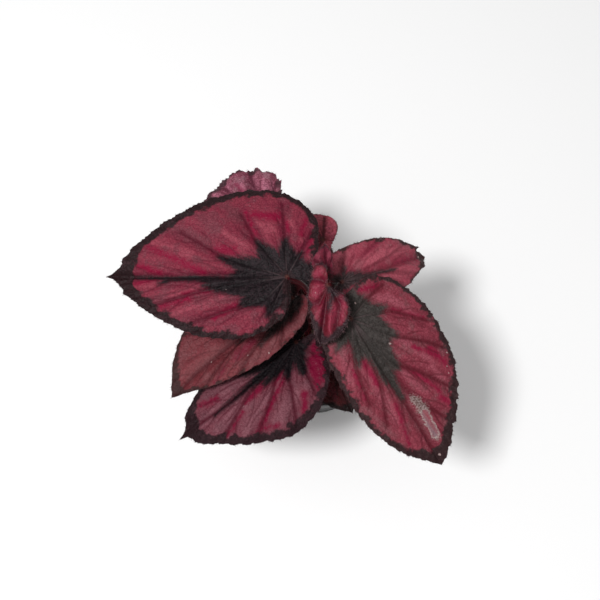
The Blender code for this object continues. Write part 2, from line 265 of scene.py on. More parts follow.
leafLeft = dict(
    node="leaf_left", junction=(-15.3, 9.5, 128), heading=179.3, pitch=4.5, roll=-8, length=84.4, bend=20,
    fold=8, arch=(20, 32), left=(29.5, 29, 2, 7, 1.72), right=(43.5, 16, 14, 21, 1.74), drip=0.62,
    teeth=48, tooth=0.9, wave=0.8, quilt=1.0, seat=(-0.30, 2), stalk=(2.0, 1.4), reach=(34, 26),
    nicks=((76.3, -1, 1.0, 2.2), (73, 1, 0.9, 2.2), (46, -1, 0.9, 6)),
    columns=240, rings=76, seed=11, veinPale=0.45, inner=((0.6, 1.2), (0.84, -2.4)),
    bands=(((-8, 2.8), (5, 3.0), (22, 3.3), (34, 4.3), (46, 4.2), (54, 4.6), (62, 4.8), (67, 5.6), (71, 7.5), (75, 12)),
           ((-14, 3.6), (-4, 3.6), (4, 4.0), (22, 4.4), (30, 5.4), (42, 5.4), (56, 4.8), (66, 5.2), (71, 7.5),
            (75, 12))),
    veins=(((0, 0), (25, 1.2), (50, 1.2), (81, 0)), ((0, 0), (20, -5), (30, -9), (50, -21)),
           ((0, 0), (15, -17), (22, -30)), ((0, 0), (1.5, -18), (3, -36)), ((0, 0), (-5, -10), (-11, -22)),
           ((0, 0), (10, 12), (20, 14.5), (42, 22)), ((0, 0), (5, 12), (9, 25)), ((0, 0), (-2, 7)),
           ((0, 0), (20, 4), (40, 8), (60, 14))),
    star=((1, 2, 16, 2, 13.5, 9), (5, 9, 8, 18, 7, 1.4), (10, 8, 20, 13.5, 7, 1.8), (18, 4, 38, 5.5, 7.5, 1.2),
          (30, 2, 52, 1.8, 2.2, 1.5), (52, 1.8, 72, 0.6, 1.5, 0.8), (0, -8, 1.5, -17, 6, 1.4),
          (8, -8, 14, -16, 6, 1.2), (14, -3, 31, -8, 6, 1.0), (-1, -3, -9, -3, 5.5, 4.5),
          (-2, -6, -6, -11, 4, 1.2), (54, 2.5, 58, 4, 1.8, 0.8), (34, 3, 44, 0.6, 3.0, 1.2)),
    crimson=((38, -1, 50, -7, 1.6, 1.4), (50, -7, 64, -13, 1.4, 0.9), (58, -1, 70, -5, 1.3, 1.0), (60, 2, 70, 4, 0.9, 0.7),
             (25, -11, 32, -12.5, 2.4, 1.6), (15, -18, 20, -31, 1.4, 0.9), (5, -28, 16, -29.5, 2.1, 1.5),
             (0, -22, 4, -31, 1.3, 0.8), (22, 14, 32, 20, 1.3, 0.9), (44, 11, 56, 15, 1.1, 0.8),
             (-9, -12, -12, -22, 0.9, 0.9), (-6, -20, -8, -28, 1.0, 0.8), (34, 7, 46, 9, 0.9, 0.7)),
    bright=((24, 9, 50, 18, 1.4, 1.0), (38, 6, 56, 10, 1.2, 0.8), (2, 17, 12, 24, 1.4, 1.4),
            (44, -10, 62, -15, 1.6, 1.2), (20, -13, 36, -25, 1.6, 1.2), (-6, -18, 2, -30, 1.2, 1.2),
            (58, 3, 66, 4, 1.6, 1.4), (8, -21, 14, -25, 1.8, 1.2)),
    paintedSheen=((30, 22, 52, 21, 1.5, 1.5), (38, -15, 52, -22, 3.4, 3.0), (34, -22, 40, -28, 4.0, 2.6),
          (22, -27, 30, -34, 3.4, 2.4), (16, 15, 34, 22, 1.0, 0.6)),
    flecks=((56, -7, 0.35), (18, -34, 0.4), (27, 6.5, 0.4), (44, -26, 0.3)),
    colours=dict(red=(0.205, 0.026, 0.046), deep=(0.133, 0.011, 0.028), bright=(0.290, 0.052, 0.078),
                 crimson=(0.189, 0.001, 0.025), net=(0.076, 0.004, 0.014), dark=(0.005, 0.003, 0.004),
                 pale=(0.020, 0.012, 0.015), margin=(0.014, 0.005, 0.006), rim=(0.040, 0.017, 0.021)),
)

leafFrontRight = dict(
    node="leaf_front_right", junction=(14, -6.5, 116), heading=-57.3, pitch=-7, roll=6, length=80, bend=24,
    fold=6, arch=(30, 24), left=(34.5, 25, 12.5, 15, 2.0), right=(21, 31, 9.5, 6, 2.4), drip=0.05,
    teeth=48, tooth=0.9, wave=0.8, quilt=1.0, seat=(0.64, -24), stalk=(2.0, 1.4), reach=(18, 18),
    columns=230, rings=72, seed=23, veinPale=0.45,
    bands=(((-12, 2.6), (0, 3.0), (20, 3.3), (38, 3.4), (50, 3.7), (58, 4.0), (64, 4.6), (70, 5.4), (74, 7), (77, 9)),
           ((-9, 2.8), (6, 3.2), (20, 3.3), (45, 3.4), (58, 3.5), (66, 4.2), (71, 5.0), (75, 7))),
    veins=(((0, 0), (30, -0.5), (55, 0.5), (78, 0)), ((0, 0), (6, 17), (12, 23), (19, 30)),
           ((0, 0), (17, 12), (28, 25), (34, 30)), ((0, 0), (28, 5), (33, 11), (52, 23)),
           ((0, 0), (20, -10.5), (38, -14)), ((0, 0), (30, -4), (50, -12)), ((0, 0), (2, -13)),
           ((0, 0), (-4, 12), (-6, 22)), ((0, 0), (44, 4), (62, 13)), ((0, 0), (-8, 3))),
    star=((1, 2, 14, 3, 10.5, 8.5), (-2, 6, -9, 6, 5.5, 3.5), (2, 9, 4, 16, 5, 1.2), (10, 7, 17, 13, 6.5, 1.6),
          (16, 3, 29, 5, 6.5, 2.6), (26, 1, 44, 0.5, 3.4, 0.9), (3, -6, 3, -16, 4, 1.4), (6, -8, 9, -14, 3, 1.0),
          (12, -3, 20, -9, 4.4, 1.0), (20, 0, 33, -2, 4.0, 1.2)),
    nicks=((27, 1, 0.8, 1.2), (48, 1, 0.5, 7), (76, -1, 0.8, 2.0), (77, 1, -1.0, 1.6)),
    crimson=((-9, 9, -7, 18, 1.4, 1.2), (31, 24, 40, 26, 1.6, 1.2), (26, 17, 34, 24, 0.9, 1.0),
             (7, 19, 17, 29, 0.7, 0.6), (35, 11, 50, 17, 0.8, 0.8), (17, -6, 32, -6, 1.6, 1.2),
             (44, -4, 62, -8, 0.8, 0.6), (20, -12, 34, -14, 0.7, 0.7), (52, 16, 58, 18, 1.2, 1.0)),
    bright=((0, 20, 14, 26, 1.8, 1.6), (20, 14, 34, 20, 1.8, 1.6), (34, 7, 46, 12, 1.6, 1.4),
            (22, -7, 50, -8, 1.8, 1.4), (10, -11, 24, -16, 1.8, 1.6), (38, 20, 52, 22, 1.4, 1.4),
            (-5, 13, 0, 18, 1.4, 1.4)),
    paintedSheen=((44, -1, 66, 1, 1.6, 1.4), (40, -16, 56, -12, 1.2, 1.0), (60, 13, 66, 10, 1.8, 1.4)),
    flecks=((19, 8.8, 0.8), (37, 30, 0.7), (42, 26, 0.5), (45, 25, 0.4), (75, 1.5, 0.9), (-5, 5.5, 0.6)),
    scar=((46, 4.8, 53, 5.6, 1.8, 2.6), (66, 4.4, 67, 4.4, 1.0, 1.0)),
    blister=((54, 5.4, 65, 4.6, 1.9, 1.7),),
    colours=dict(red=(0.233, 0.037, 0.057), deep=(0.155, 0.020, 0.034), bright=(0.292, 0.068, 0.095),
                 crimson=(0.193, 0.002, 0.027), net=(0.085, 0.007, 0.014), dark=(0.022, 0.018, 0.016),
                 pale=(0.048, 0.040, 0.037), margin=(0.024, 0.010, 0.011), rim=(0.055, 0.032, 0.033)),
)

# the black star round the junction is partly painted shadow from the leaves above, and the mauve red partly painted
# sheen
leafFrontLeft = dict(
    node="leaf_front_left", junction=(-11.3, -12, 98), heading=-143, pitch=-3.5, roll=3, length=73.8, bend=22,
    fold=6, arch=(24, 22), left=(34.5, 25, 9, 3, 1.55), right=(22, 15, 12, 12, 1.6), drip=0.6,
    teeth=40, tooth=0.9, wave=0.9, quilt=1.0, seat=(-0.50, -50), stalk=(1.9, 1.3), reach=(14, 14),
    columns=210, rings=68, seed=37, veinPale=0.12, gloss=0.06,
    bands=(((-9, 3.2), (8, 3.8), (18, 4.6), (28, 5.0), (36, 4.8), (48, 4.4), (56, 4.6), (61, 5.8), (66, 9)),
           ((-12, 3.0), (20, 3.0), (48, 3.4), (58, 4.8), (65, 9))),
    veins=(((0, 0), (20, 2.6), (45, 3), (71, 0)), ((0, 0), (12, 10), (16, 18), (24, 32)),
           ((0, 0), (15, 5), (25, 14), (42, 24)), ((0, 0), (4, 12), (8, 26)), ((0, 0), (30, 5), (56, 15)),
           ((0, 0), (20, -5), (42, -12)), ((0, 0), (5, -12), (8, -20)), ((0, 0), (-6, -8)), ((0, 0), (-3, 10))),
    star=((-4, 0, 10, 3, 6.0, 6.0), (3, 5, 6, 13.5, 4.5, 2.4), (8, 5, 14, 11.5, 4.0, 1.4), (12, 4, 24, 7, 4.2, 1.4),
          (16, 3, 36, 3.5, 3.8, 1.4), (34, 3.4, 52, 3.0, 1.4, 0.7), (12, 2, 30, -3, 5.0, 1.2)),
    crimson=((-6, 9, -1, 22, 3.6, 3.4), (0, 13, 5, 25, 3.0, 1.6), (15, 11, 28, 17, 1.2, 1.3), (14, 8, 20, 10, 1.4, 1.0),
             (28, 17, 41, 24, 1.4, 1.1), (40, 11, 53, 15, 0.8, 0.6), (30, 27, 36, 24, 1.0, 0.8),
             (12, 23, 17, 29, 1.6, 1.3), (46, -2, 55, -5, 1.3, 1.0), (24, 7, 36, 8, 1.9, 1.2)),
    bright=((16, 20, 30, 26, 2.6, 2.2), (20, 11, 44, 19, 2.6, 2.4), (34, 8, 54, 10, 2.6, 2.2),
            (44, 1, 60, 3, 2.6, 2.2), (26, 0, 44, -3, 1.8, 1.6), (8, 20, 12, 25, 1.2, 1.2)),
    paintedSheen=((20, -8, 50, -6, 3.0, 2.4), (56, 0, 66, 0, 2.0, 1.6)),
    flecks=((44, 15, 0.35), (14, -3.5, 0.5), (38, 9, 0.3)),
    colours=dict(red=(0.165, 0.048, 0.064), deep=(0.118, 0.028, 0.042), bright=(0.205, 0.076, 0.096),
                 crimson=(0.142, 0.001, 0.021), net=(0.063, 0.006, 0.014), dark=(0.003, 0.002, 0.003),
                 pale=(0.007, 0.005, 0.006), margin=(0.018, 0.008, 0.010), rim=(0.046, 0.021, 0.026)),
)

# the dull, browner red is partly painted: the shade of leaf_left above and sky light glancing off the blade
leafLowLeft = dict(
    node="leaf_low_left", junction=(-12.7, 6, 110), heading=-143.4, pitch=-12, roll=14, length=74.5, bend=4,
    fold=6, arch=(26, 6), left=(16.5, 21, 5, 3, 1.8), right=(27.4, 38, 10, 12, 1.9), drip=0.0,
    teeth=36, tooth=0.5, wave=0.5, quilt=0.9, seat=(-0.66, 14), stalk=(1.9, 1.3), reach=(20, 14),
    columns=178, rings=58, seed=41,
    bands=(((-5, 0.8), (30, 0.7), (56, 0.8), (64, 2.2), (70, 5)),
           ((-10, 2.0), (30, 2.0), (50, 2.4), (58, 3.0), (70, 5))),
    veins=(((0, 0), (30, -1.2), (60, -1.5), (71, 0)), ((0, 0), (20, 6), (42, 13)), ((0, 0), (10, 7), (18, 15)),
           ((0, 0), (25, -8), (50, -20)), ((0, 0), (14, -12), (34, -26)), ((0, 0), (2, -14), (6, -24)),
           ((0, 0), (36, 1), (60, 8)), ((0, 0), (-4, -10))),
    star=((2, 2, 16, 6, 6, 3.5), (14, 7, 26, 9, 2.4, 0.8), (0, -4, 12, -10, 5, 1.2), (16, 2, 34, 0, 2.6, 0.6)),
    crimson=((28, 5, 38, 6, 2.2, 1.6), (30, -10, 44, -18, 0.9, 0.6), (44, 6, 54, 9, 0.7, 0.5)),
    bright=((30, 10, 52, 10, 2.2, 1.8), (44, -4, 64, -5, 2.4, 2.0), (40, -12, 54, -14, 2.0, 1.6)),
    paintedSheen=((0, 12, 30, 13, 2.0, 1.6), (30, -1.5, 62, -2.5, 1.4, 1.0), (52, -17, 66, -8, 2.4, 1.6)),
    flecks=((24.5, 14.5, 0.5), (33, 9, 0.4), (49, -1, 0.5)),
    colours=dict(red=(0.178, 0.031, 0.041), deep=(0.117, 0.018, 0.023), bright=(0.190, 0.043, 0.051),
                 crimson=(0.140, 0.010, 0.026), net=(0.067, 0.009, 0.013), dark=(0.006, 0.003, 0.003),
                 pale=(0.028, 0.013, 0.013), margin=(0.033, 0.011, 0.011), rim=(0.072, 0.030, 0.032)),
)

# the bright stroke (1, 6, 6, 12) is painted light on a part that leaf_young and leaf_bud shade
leafBackRight = dict(
    node="leaf_back_right", junction=(10.5, 13.3, 112), heading=21, pitch=12, roll=6, length=50, bend=58,
    fold=6, arch=(22, 22), left=(15.6, 11, 6, 10, 2.8), right=(16, 7, 5, 7, 2.3), drip=0.0,
    teeth=32, tooth=0.6, wave=0.5, quilt=0.8, seat=(0.56, 36), stalk=(1.7, 1.2), reach=(18, 14),
    columns=170, rings=50, seed=53, veinShade=0.55, speck=0.7,
    bands=(((-6, 1.6), (20, 1.7), (36, 1.7), (44, 2.6), (49, 4)),
           ((-5, 1.0), (20, 0.9), (38, 1.2), (44, 2.6), (49, 4))),
    veins=(((0, 0), (20, -1), (36, -0.5), (48, 0)), ((0, 0), (12, 7), (26, 14)), ((0, 0), (4, 9), (8, 15)),
           ((0, 0), (12, -7), (26, -14)), ((0, 0), (2, -8), (5, -14)), ((0, 0), (24, 3), (42, 9)),
           ((0, 0), (24, -4), (42, -9)), ((0, 0), (-4, 6))),
    star=((-2, 0, 8, -0.6, 4.6, 3.2), (6, -1, 26, -3.2, 2.0, 0.6), (2, 3, 4, 6, 2.0, 0.8), (45.6, 1.5, 46.8, 6.5, 2.2, 2.0)),
    nicks=((8, 1, -0.7, 6), (46.5, 1, 2.0, 1.2), (45, 1, -2.4, 1.0), (48.5, 1, -1.2, 1.0), (43, -1, -1.2, 1.4), (47, -1, 1.0, 1.2)),
    crimson=((28, 0, 43, 0.5, 0.8, 0.6), (12, -8, 24, -12, 0.7, 0.5), (14, 8, 26, 13, 0.7, 0.5)),
    bright=((10, 5, 38, 6, 2.6, 2.2), (12, -5, 38, -6, 2.6, 2.0), (1, 6, 6, 12, 3.4, 3.0)),
    paintedSheen=((36, 9, 44, 6, 1.6, 1.2), (40, -8, 45, -4, 1.6, 1.2)),
    flecks=((45, 0.5, 0.9), (46.5, -3, 0.8), (30, 9, 0.3)),
    colours=dict(red=(0.306, 0.052, 0.079), deep=(0.227, 0.030, 0.052), bright=(0.365, 0.079, 0.109),
                 crimson=(0.20, 0.014, 0.040), net=(0.111, 0.013, 0.023), dark=(0.020, 0.011, 0.012),
                 pale=(0.050, 0.030, 0.032), margin=(0.031, 0.011, 0.011), rim=(0.089, 0.046, 0.050)),
)

leafBackLeft = dict(
    node="leaf_back_left", junction=(-27, 51, 104), heading=178, pitch=2.5, roll=0, length=35.5, bend=30,
    fold=6, arch=(20, 22), left=(18, 14, 8, 8, 1.8), right=(27.6, 9, 8, 16, 2.1), drip=0.2,
    nicks=((23.5, -1, -1.3, 2.5), (15, -1, 0.6, 2.5)),
    teeth=32, tooth=1.3, wave=0.9, quilt=0.7, seat=(-0.42, 58), stalk=(1.6, 1.1), reach=(22, 24),
    columns=164, rings=42, seed=61, speck=1.4,
    bands=(((-8, 1.6), (10, 2.2), (30, 2.2), (36, 3.5)), ((-8, 1.6), (8, 2.0), (28, 2.4), (36, 3.5))),
    veins=(((0, 0), (20, 0.5), (35, 0)), ((0, 0), (9, 7), (18, 14)), ((0, 0), (2, 9), (4, 16)),
           ((0, 0), (12, -9), (22, -17)), ((0, 0), (5, -14), (9, -25)), ((0, 0), (-3, -10), (-5, -20)),
           ((0, 0), (18, 4), (30, 8))),
    star=((0, 0, 8, 0, 4.5, 3.0), (4, -4, 9, -10, 2.0, 0.5), (8, 1, 20, 1, 1.6, 0.4)),
    crimson=((10, 10, 18, 12, 0.8, 0.6), (10, -12, 16, -18, 0.8, 0.6)),
    bright=((-4, -13, -3, -20, 0.8, 0.6), (0.5, -13, 1.5, -22, 0.8, 0.6), (5.5, -14, 7, -23, 0.9, 0.7),
            (11, -14, 13, -21, 0.9, 0.7), (17, -12, 20, -18, 0.9, 0.7), (23, -10, 27, -14, 0.8, 0.6),
            (4, 12, 16, 13, 2.0, 1.8), (12, 5, 28, 8, 2.0, 1.6)),
    paintedSheen=((24, 10, 32, 5, 1.4, 1.0),), flecks=((9, 15, 0.3), (22, 9, 0.3)),
    colours=dict(red=(0.244, 0.062, 0.097), deep=(0.148, 0.030, 0.051), bright=(0.484, 0.168, 0.242),
                 crimson=(0.182, 0.014, 0.046), net=(0.084, 0.013, 0.028), dark=(0.023, 0.011, 0.014),
                 pale=(0.058, 0.032, 0.037), margin=(0.046, 0.016, 0.022), rim=(0.133, 0.072, 0.085)),
)

# colours painted lighter than its own red, to make up for the shade leaf_left casts on it
leafBack = dict(
    node="leaf_back", junction=(1.9, 38.5, 104), heading=161, pitch=3.3, roll=0, length=30, bend=30,
    fold=6, arch=(20, 20), left=(12, 10, 5.0, 7, 1.8), right=(13.5, 1.5, 5.0, 6, 1.8), drip=0.3,
    inner=((0.96, -1.0), (0.98, 1.2)),
    teeth=24, tooth=0.3, wave=0.3, quilt=0.5, seat=(0.10, 62), stalk=(1.4, 1.0), reach=(20, 18),
    columns=112, rings=34, seed=71,
    bands=(((-5, 0.8), (20, 0.8), (28, 2)), ((-5, 0.8), (20, 0.8), (28, 2))),
    veins=(((0, 0), (15, 0.4), (28, 0)), ((0, 0), (8, 6), (15, 10)), ((0, 0), (2, 7), (3, 11)),
           ((0, 0), (8, -6), (15, -10)), ((0, 0), (2, -7), (3, -12))),
    star=((0, 0, 0.5, 0, 0.5, 0.5),), crimson=((6, 3, 14, 6, 0.6, 0.5),),
    bright=((-4, -3, 0, -8, 1.6, 1.6), (-4, 3, 0, 6, 1.4, 1.2), (4, 5, 16, 5, 1.6, 1.4)), paintedSheen=((14, -6, 22, -3, 1.4, 1.0),),
    flecks=((10, 3, 0.25),),
    colours=dict(red=(0.449, 0.075, 0.112), deep=(0.300, 0.049, 0.068), bright=(0.554, 0.105, 0.161),
                 crimson=(0.111, 0.003, 0.014), net=(0.058, 0.006, 0.011), dark=(0.013, 0.007, 0.004),
                 pale=(0.032, 0.020, 0.016), margin=(0.032, 0.007, 0.009), rim=(0.063, 0.025, 0.028)),
)

# the bright stroke (1.5, -4, 4.5, -5.2) is a painted highlight, and the crimson strokes between the pink bands are
# partly painted shade
leafYoung = dict(
    node="leaf_young", junction=(3.2, 4.6, 131), heading=-98, pitch=-11.5, roll=0, length=27.5, bend=20,
    fold=6, arch=(30, 30), left=(11, 13, -2.0, 3, 2.2), right=(8.8, 2, 8.5, 6, 1.6), drip=0.3, puff=2.6, pillow=3.0, branches=0,
    teeth=24, tooth=0.6, wave=0.5, quilt=0.7, seat=(0.16, -10), stalk=(1.4, 1.0), reach=(30, 14),
    columns=150, rings=40, seed=83, veinPale=0.1, veinShade=0.45, speck=0.25, fuzz=3.0, groove=0.2, rough=(0.38, 0.5), gloss=0.2,
    bands=(((-2, 1.2), (6, 1.7), (14, 1.8), (20, 3.2), (26, 4)), ((-8, 1.2), (4, 1.3), (12, 2.0), (20, 3.8), (26, 4))),
    veins=(((0, 0), (12, 0.4), (26, 0)), ((0, 0), (4, 4.6), (9, 6.3), (18, 6)), ((0, 0), (5, -1.6), (8.5, -3), (10, -7)),
           ((0, 0), (-1.6, -3), (-1.6, -8)), ((0, 0), (-1, 5), (1, 9))),
    star=((0.5, 1.8, 4, 2.7, 2.6, 1.8), (4, 2.6, 11, 1.6, 1.5, 0.7), (-1, 1, -1, 5, 1.4, 1.0)),
    crimson=((2, 6.3, 18, 5.9, 0.7, 0.5), (8, -1.2, 9.5, -6, 0.8, 0.7), (-2, -2.5, -1.5, -7, 0.8, 0.7),
             (16, -1.5, 19, -4, 1.0, 1.0), (10, -0.4, 20, -0.2, 0.8, 0.6)),
    bright=((-5, -5, -4, -6.5, 1.7, 1.5), (1.5, -4, 4.5, -5.2, 2.4, 2.0), (11, -3, 15, -3.4, 1.4, 1.0),
            (6, 8.2, 16, 8.4, 1.2, 1.0), (9, 4.4, 19, 3.6, 1.2, 1.0)),
    paintedSheen=((21, -1, 27, 0, 1.6, 2.0),), flecks=((4.3, -5.2, 0.3),),
    colours=dict(red=(0.175, 0.013, 0.028), deep=(0.105, 0.006, 0.014), bright=(0.25, 0.024, 0.052),
                 crimson=(0.115, 0.004, 0.020), net=(0.055, 0.009, 0.015), dark=(0.022, 0.011, 0.015),
                 pale=(0.026, 0.016, 0.020), margin=(0.024, 0.010, 0.013), rim=(0.040, 0.018, 0.023)),
)

leafBud = dict(
    node="leaf_bud", gloss=0.15, junction=(3.1, 14.0, 125.5), heading=98, pitch=59, roll=0, length=13.5, bend=20,
    fold=26, arch=(10, 10), left=(7.5, 6, 2, 3, 1.8), right=(2.8, 7, 2, 2, 1.8), drip=0.4,
    teeth=16, tooth=0.4, wave=0.3, quilt=0.4, seat=(0.03, 24), stalk=(1.1, 0.8), reach=(20, 14),
    columns=100, rings=28, seed=97, speck=0.4,
    bands=(((-2, 0.5), (10, 0.7), (15, 2)), ((-2, 0.5), (10, 0.7), (15, 2))),
    veins=(((0, 0), (7, 0.6), (14, 0)), ((0, 0), (3, 3), (7, 6)), ((0, 0), (4, -1.5), (8, -3)), ((0, 0), (0, 3))),
    star=((0, 0.5, 4.5, 3, 1.4, 0.8),), crimson=((3, 1.4, 9, 2.2, 0.5, 0.4),),
    bright=((4.3, -1, 11, 0.3, 0.9, 0.8), (6, 4.5, 9, 4.5, 1.0, 0.8)), paintedSheen=((0, 0, 2, 0, 0.6, 0.6),),
    flecks=((8, 3, 0.15),),
    colours=dict(red=(0.221, 0.033, 0.058), deep=(0.167, 0.017, 0.038), bright=(0.293, 0.052, 0.085),
                 crimson=(0.120, 0.003, 0.014), net=(0.076, 0.006, 0.016), dark=(0.032, 0.006, 0.013),
                 pale=(0.058, 0.023, 0.032), margin=(0.063, 0.018, 0.027), rim=(0.060, 0.024, 0.030)),
)

# colours painted near black: painted shade, for the leaves above shade this low leaf
leafFrontLow = dict(
    node="leaf_front_low", junction=(2.8, -14, 88), heading=-64, pitch=-12, roll=0, length=33, bend=20,
    fold=6, arch=(20, 20), left=(14, 14, 6, 6, 1.8), right=(14, 14, 6, 6, 1.8), drip=0.3,
    teeth=28, tooth=0.6, wave=0.5, quilt=0.6, seat=(0.12, -58), stalk=(1.6, 1.1), reach=(8, 8),
    columns=112, rings=32, seed=101,
    bands=(((-6, 1.2), (20, 1.6), (31, 4)), ((-6, 1.2), (20, 1.6), (31, 4))),
    veins=(((0, 0), (16, 0.5), (31, 0)), ((0, 0), (8, 6), (16, 12)), ((0, 0), (2, 8), (3, 12)),
           ((0, 0), (8, -6), (16, -12)), ((0, 0), (2, -8), (3, -12))),
    star=((0, 0, 7, 0, 4.5, 2.6), (6, 1, 18, 1, 1.6, 0.4)), crimson=((8, 6, 16, 9, 0.7, 0.5),),
    bright=((8, 5, 22, 5, 1.6, 1.4), (8, -6, 22, -5, 1.6, 1.4)), paintedSheen=((20, 0, 28, 0, 2.0, 2.0),),
    flecks=((15, -4, 0.25),),
    colours=dict(red=(0.053, 0.004, 0.005), deep=(0.026, 0.004, 0.004), bright=(0.082, 0.009, 0.017),
                 crimson=(0.041, 0.003, 0.003), net=(0.014, 0.003, 0.003), dark=(0.003, 0.003, 0.003),
                 pale=(0.010, 0.003, 0.003), margin=(0.007, 0.003, 0.003), rim=(0.028, 0.007, 0.009)),
)

leaves = [leafLeft, leafFrontRight, leafFrontLeft, leafLowLeft, leafBackRight, leafBackLeft, leafBack, leafYoung,
          leafBud, leafFrontLow]

blade = dict(
    thick=0.22, thinRim=0.10, groove=0.30, sideGroove=0.10, rib=0.45, puff=0.85, pebble=0.10, scallop=0.5,
    saw=0.30, sawPitch=1.5, curl=0.5, ringPower=1.25, branchEvery=0.22, branchTurn=42.0, branchLength=0.42,
    under=(0.135, 0.022, 0.030), underPale=(0.20, 0.050, 0.060), hub=(0.11, 0.030, 0.022), glint=(0.42, 0.24, 0.28),
    paleVein=(0.085, 0.052, 0.056),
    fleckColour=(0.38, 0.27, 0.26), scarPale=(0.34, 0.27, 0.26), scarDark=(0.085, 0.050, 0.040), scarMauve=(0.17, 0.085, 0.105),
    rough=(0.40, 0.62), gloss=0.13, bump=0.00028,
)


def halfEdge(length, drip, inner, wide, widest, lobe, lobeOut, taper):
    # a lobe's inner quarter turn, a shoulder on a superellipse, then a run to the tip on 1 - share to a power
    share = np.linspace(0, 1, 160)
    turn = share * math.pi / 2
    start, gap = inner
    inner = np.stack([-lobe * (start + (1 - start) * np.sin(turn)), lobeOut - (lobeOut - gap) * np.cos(turn)], axis=-1)
    shoulder = np.stack([widest - (widest + lobe) * np.cos(turn) ** (2 / 2.2),
                         lobeOut + (wide - lobeOut) * np.sin(turn) ** (2 / 2.2)], axis=-1)
    near = np.clip((share - 0.80) / 0.15, 0, 1)
    narrowing = 1 - drip * near**2 * (3 - 2 * near)
    run = np.stack([widest + (length - widest) * share, wide * (1 - share**taper) * narrowing], axis=-1)
    return np.vstack([inner, shoulder[1:], run[1:]])


def evenly(points, count):
    steps = np.concatenate([[0], np.cumsum(np.linalg.norm(np.diff(points, axis=0), axis=1))])
    wanted = np.linspace(0, steps[-1], count + 1)
    return np.stack([np.interp(wanted, steps, points[:, k]) for k in range(points.shape[1])], axis=-1)


def leafEdge(leaf):
    first, second = leaf.get("inner", ((0.6, 1.2), (0.6, 1.2)))
    left = evenly(halfEdge(leaf["length"], leaf["drip"], first, *leaf["left"]), leaf["columns"])
    right = evenly(halfEdge(leaf["length"], leaf["drip"], second, *leaf["right"]), leaf["columns"]) * (1, -1)
    return np.vstack([left, right[::-1][1:]])


def leafAxes(leaf):
    heading, pitch, roll = (math.radians(leaf[key]) for key in ("heading", "pitch", "roll"))
    along = np.array([math.cos(heading) * math.cos(pitch), math.sin(heading) * math.cos(pitch), math.sin(pitch)])
    level = np.array([-math.sin(heading), math.cos(heading), 0.0])
    left = level * math.cos(roll) + np.cross(along, level) * math.sin(roll)
    return along, left, np.cross(along, left)


def onLeaf(along, across, lift, leaf):
    # the midrib lies on an arc, and each half rises from it and turns down towards its edge on an arc of its own
    droop = math.radians(leaf["bend"]) * along / leaf["length"]
    radius = leaf["length"] / math.radians(leaf["bend"])
    leftHalf = across >= 0
    width = np.where(leftHalf, leaf["left"][0], leaf["right"][0])
    arch = np.radians(np.where(leftHalf, *leaf["arch"]))
    fold = math.radians(leaf["fold"])
    slope = fold - arch * np.abs(across) / width
    out = np.where(leftHalf, 1.0, -1.0) * width / arch * (math.sin(fold) - np.sin(slope))
    rise = width / arch * (np.cos(slope) - math.cos(fold)) + lift
    local = np.stack([(radius + rise) * np.sin(droop), out, rise * np.cos(droop) - radius * (1 - np.cos(droop))],
                     axis=-1)
    return np.array(leaf["junction"], float) + local @ np.array(leafAxes(leaf))


def lineGap(flat, line, wide, narrow):
    # half width less distance, for a line whose half width goes from wide to narrow along it
    best = np.full(len(flat), -30.0)
    widths = np.linspace(wide, narrow, len(line))
    for start, end, w0, w1 in zip(line, line[1:], widths, widths[1:]):
        step = end - start
        share = np.clip((flat - start) @ step / max(step @ step, 1e-9), 0, 1)
        gap = np.hypot(*(flat - start - share[:, None] * step).T)
        best = np.maximum(best, w0 + (w1 - w0) * share - gap)
    return best


def strokeField(flat, strokes):
    # how far inside the nearest stroke a point lies, in millimetres, and less than nothing outside
    best = np.full(len(flat), -30.0)
    for a0, c0, a1, c1, w0, w1 in strokes:
        best = np.maximum(best, lineGap(flat, np.array([(a0, c0), (a1, c1)], float), w0, w1))
    return best


def smoothLine(knots, count):
    # a line through its knots, evenly stepped, then eased by averaging each point with its neighbours
    line = evenly(np.array(knots, float), count)
    for _ in range(3):
        line[1:-1] = line[:-2] * 0.25 + line[1:-1] * 0.5 + line[2:] * 0.25
    return line


def branchLines(line, leaf, rng):
    # side veins leave a main vein by turns to either side, and bend back towards its own direction
    whole = np.linalg.norm(np.diff(line, axis=0), axis=1).sum()
    made, side = [], 1
    for share in np.arange(0.22, 0.95, blade["branchEvery"] * 50 / (whole + 20)) * leaf.get("branches", 1):
        if not share:
            break
        k = share * (len(line) - 1)
        start = np.array([np.interp(k, np.arange(len(line)), line[:, i]) for i in (0, 1)])
        way = unit(line[min(int(k) + 1, len(line) - 1)] - line[int(k)])
        turn = math.radians(blade["branchTurn"]) * side * rng.uniform(0.8, 1.2)
        reach = whole * blade["branchLength"] * (1 - 0.6 * share) * rng.uniform(0.7, 1.1)
        t = np.linspace(0, 1, 6)[:, None]
        bow = turn * (1 - 0.45 * t)
        out = np.hstack([np.cos(bow) * way[0] - np.sin(bow) * way[1], np.sin(bow) * way[0] + np.cos(bow) * way[1]])
        made.append(start + out * reach * t)
        side = -side
    return made


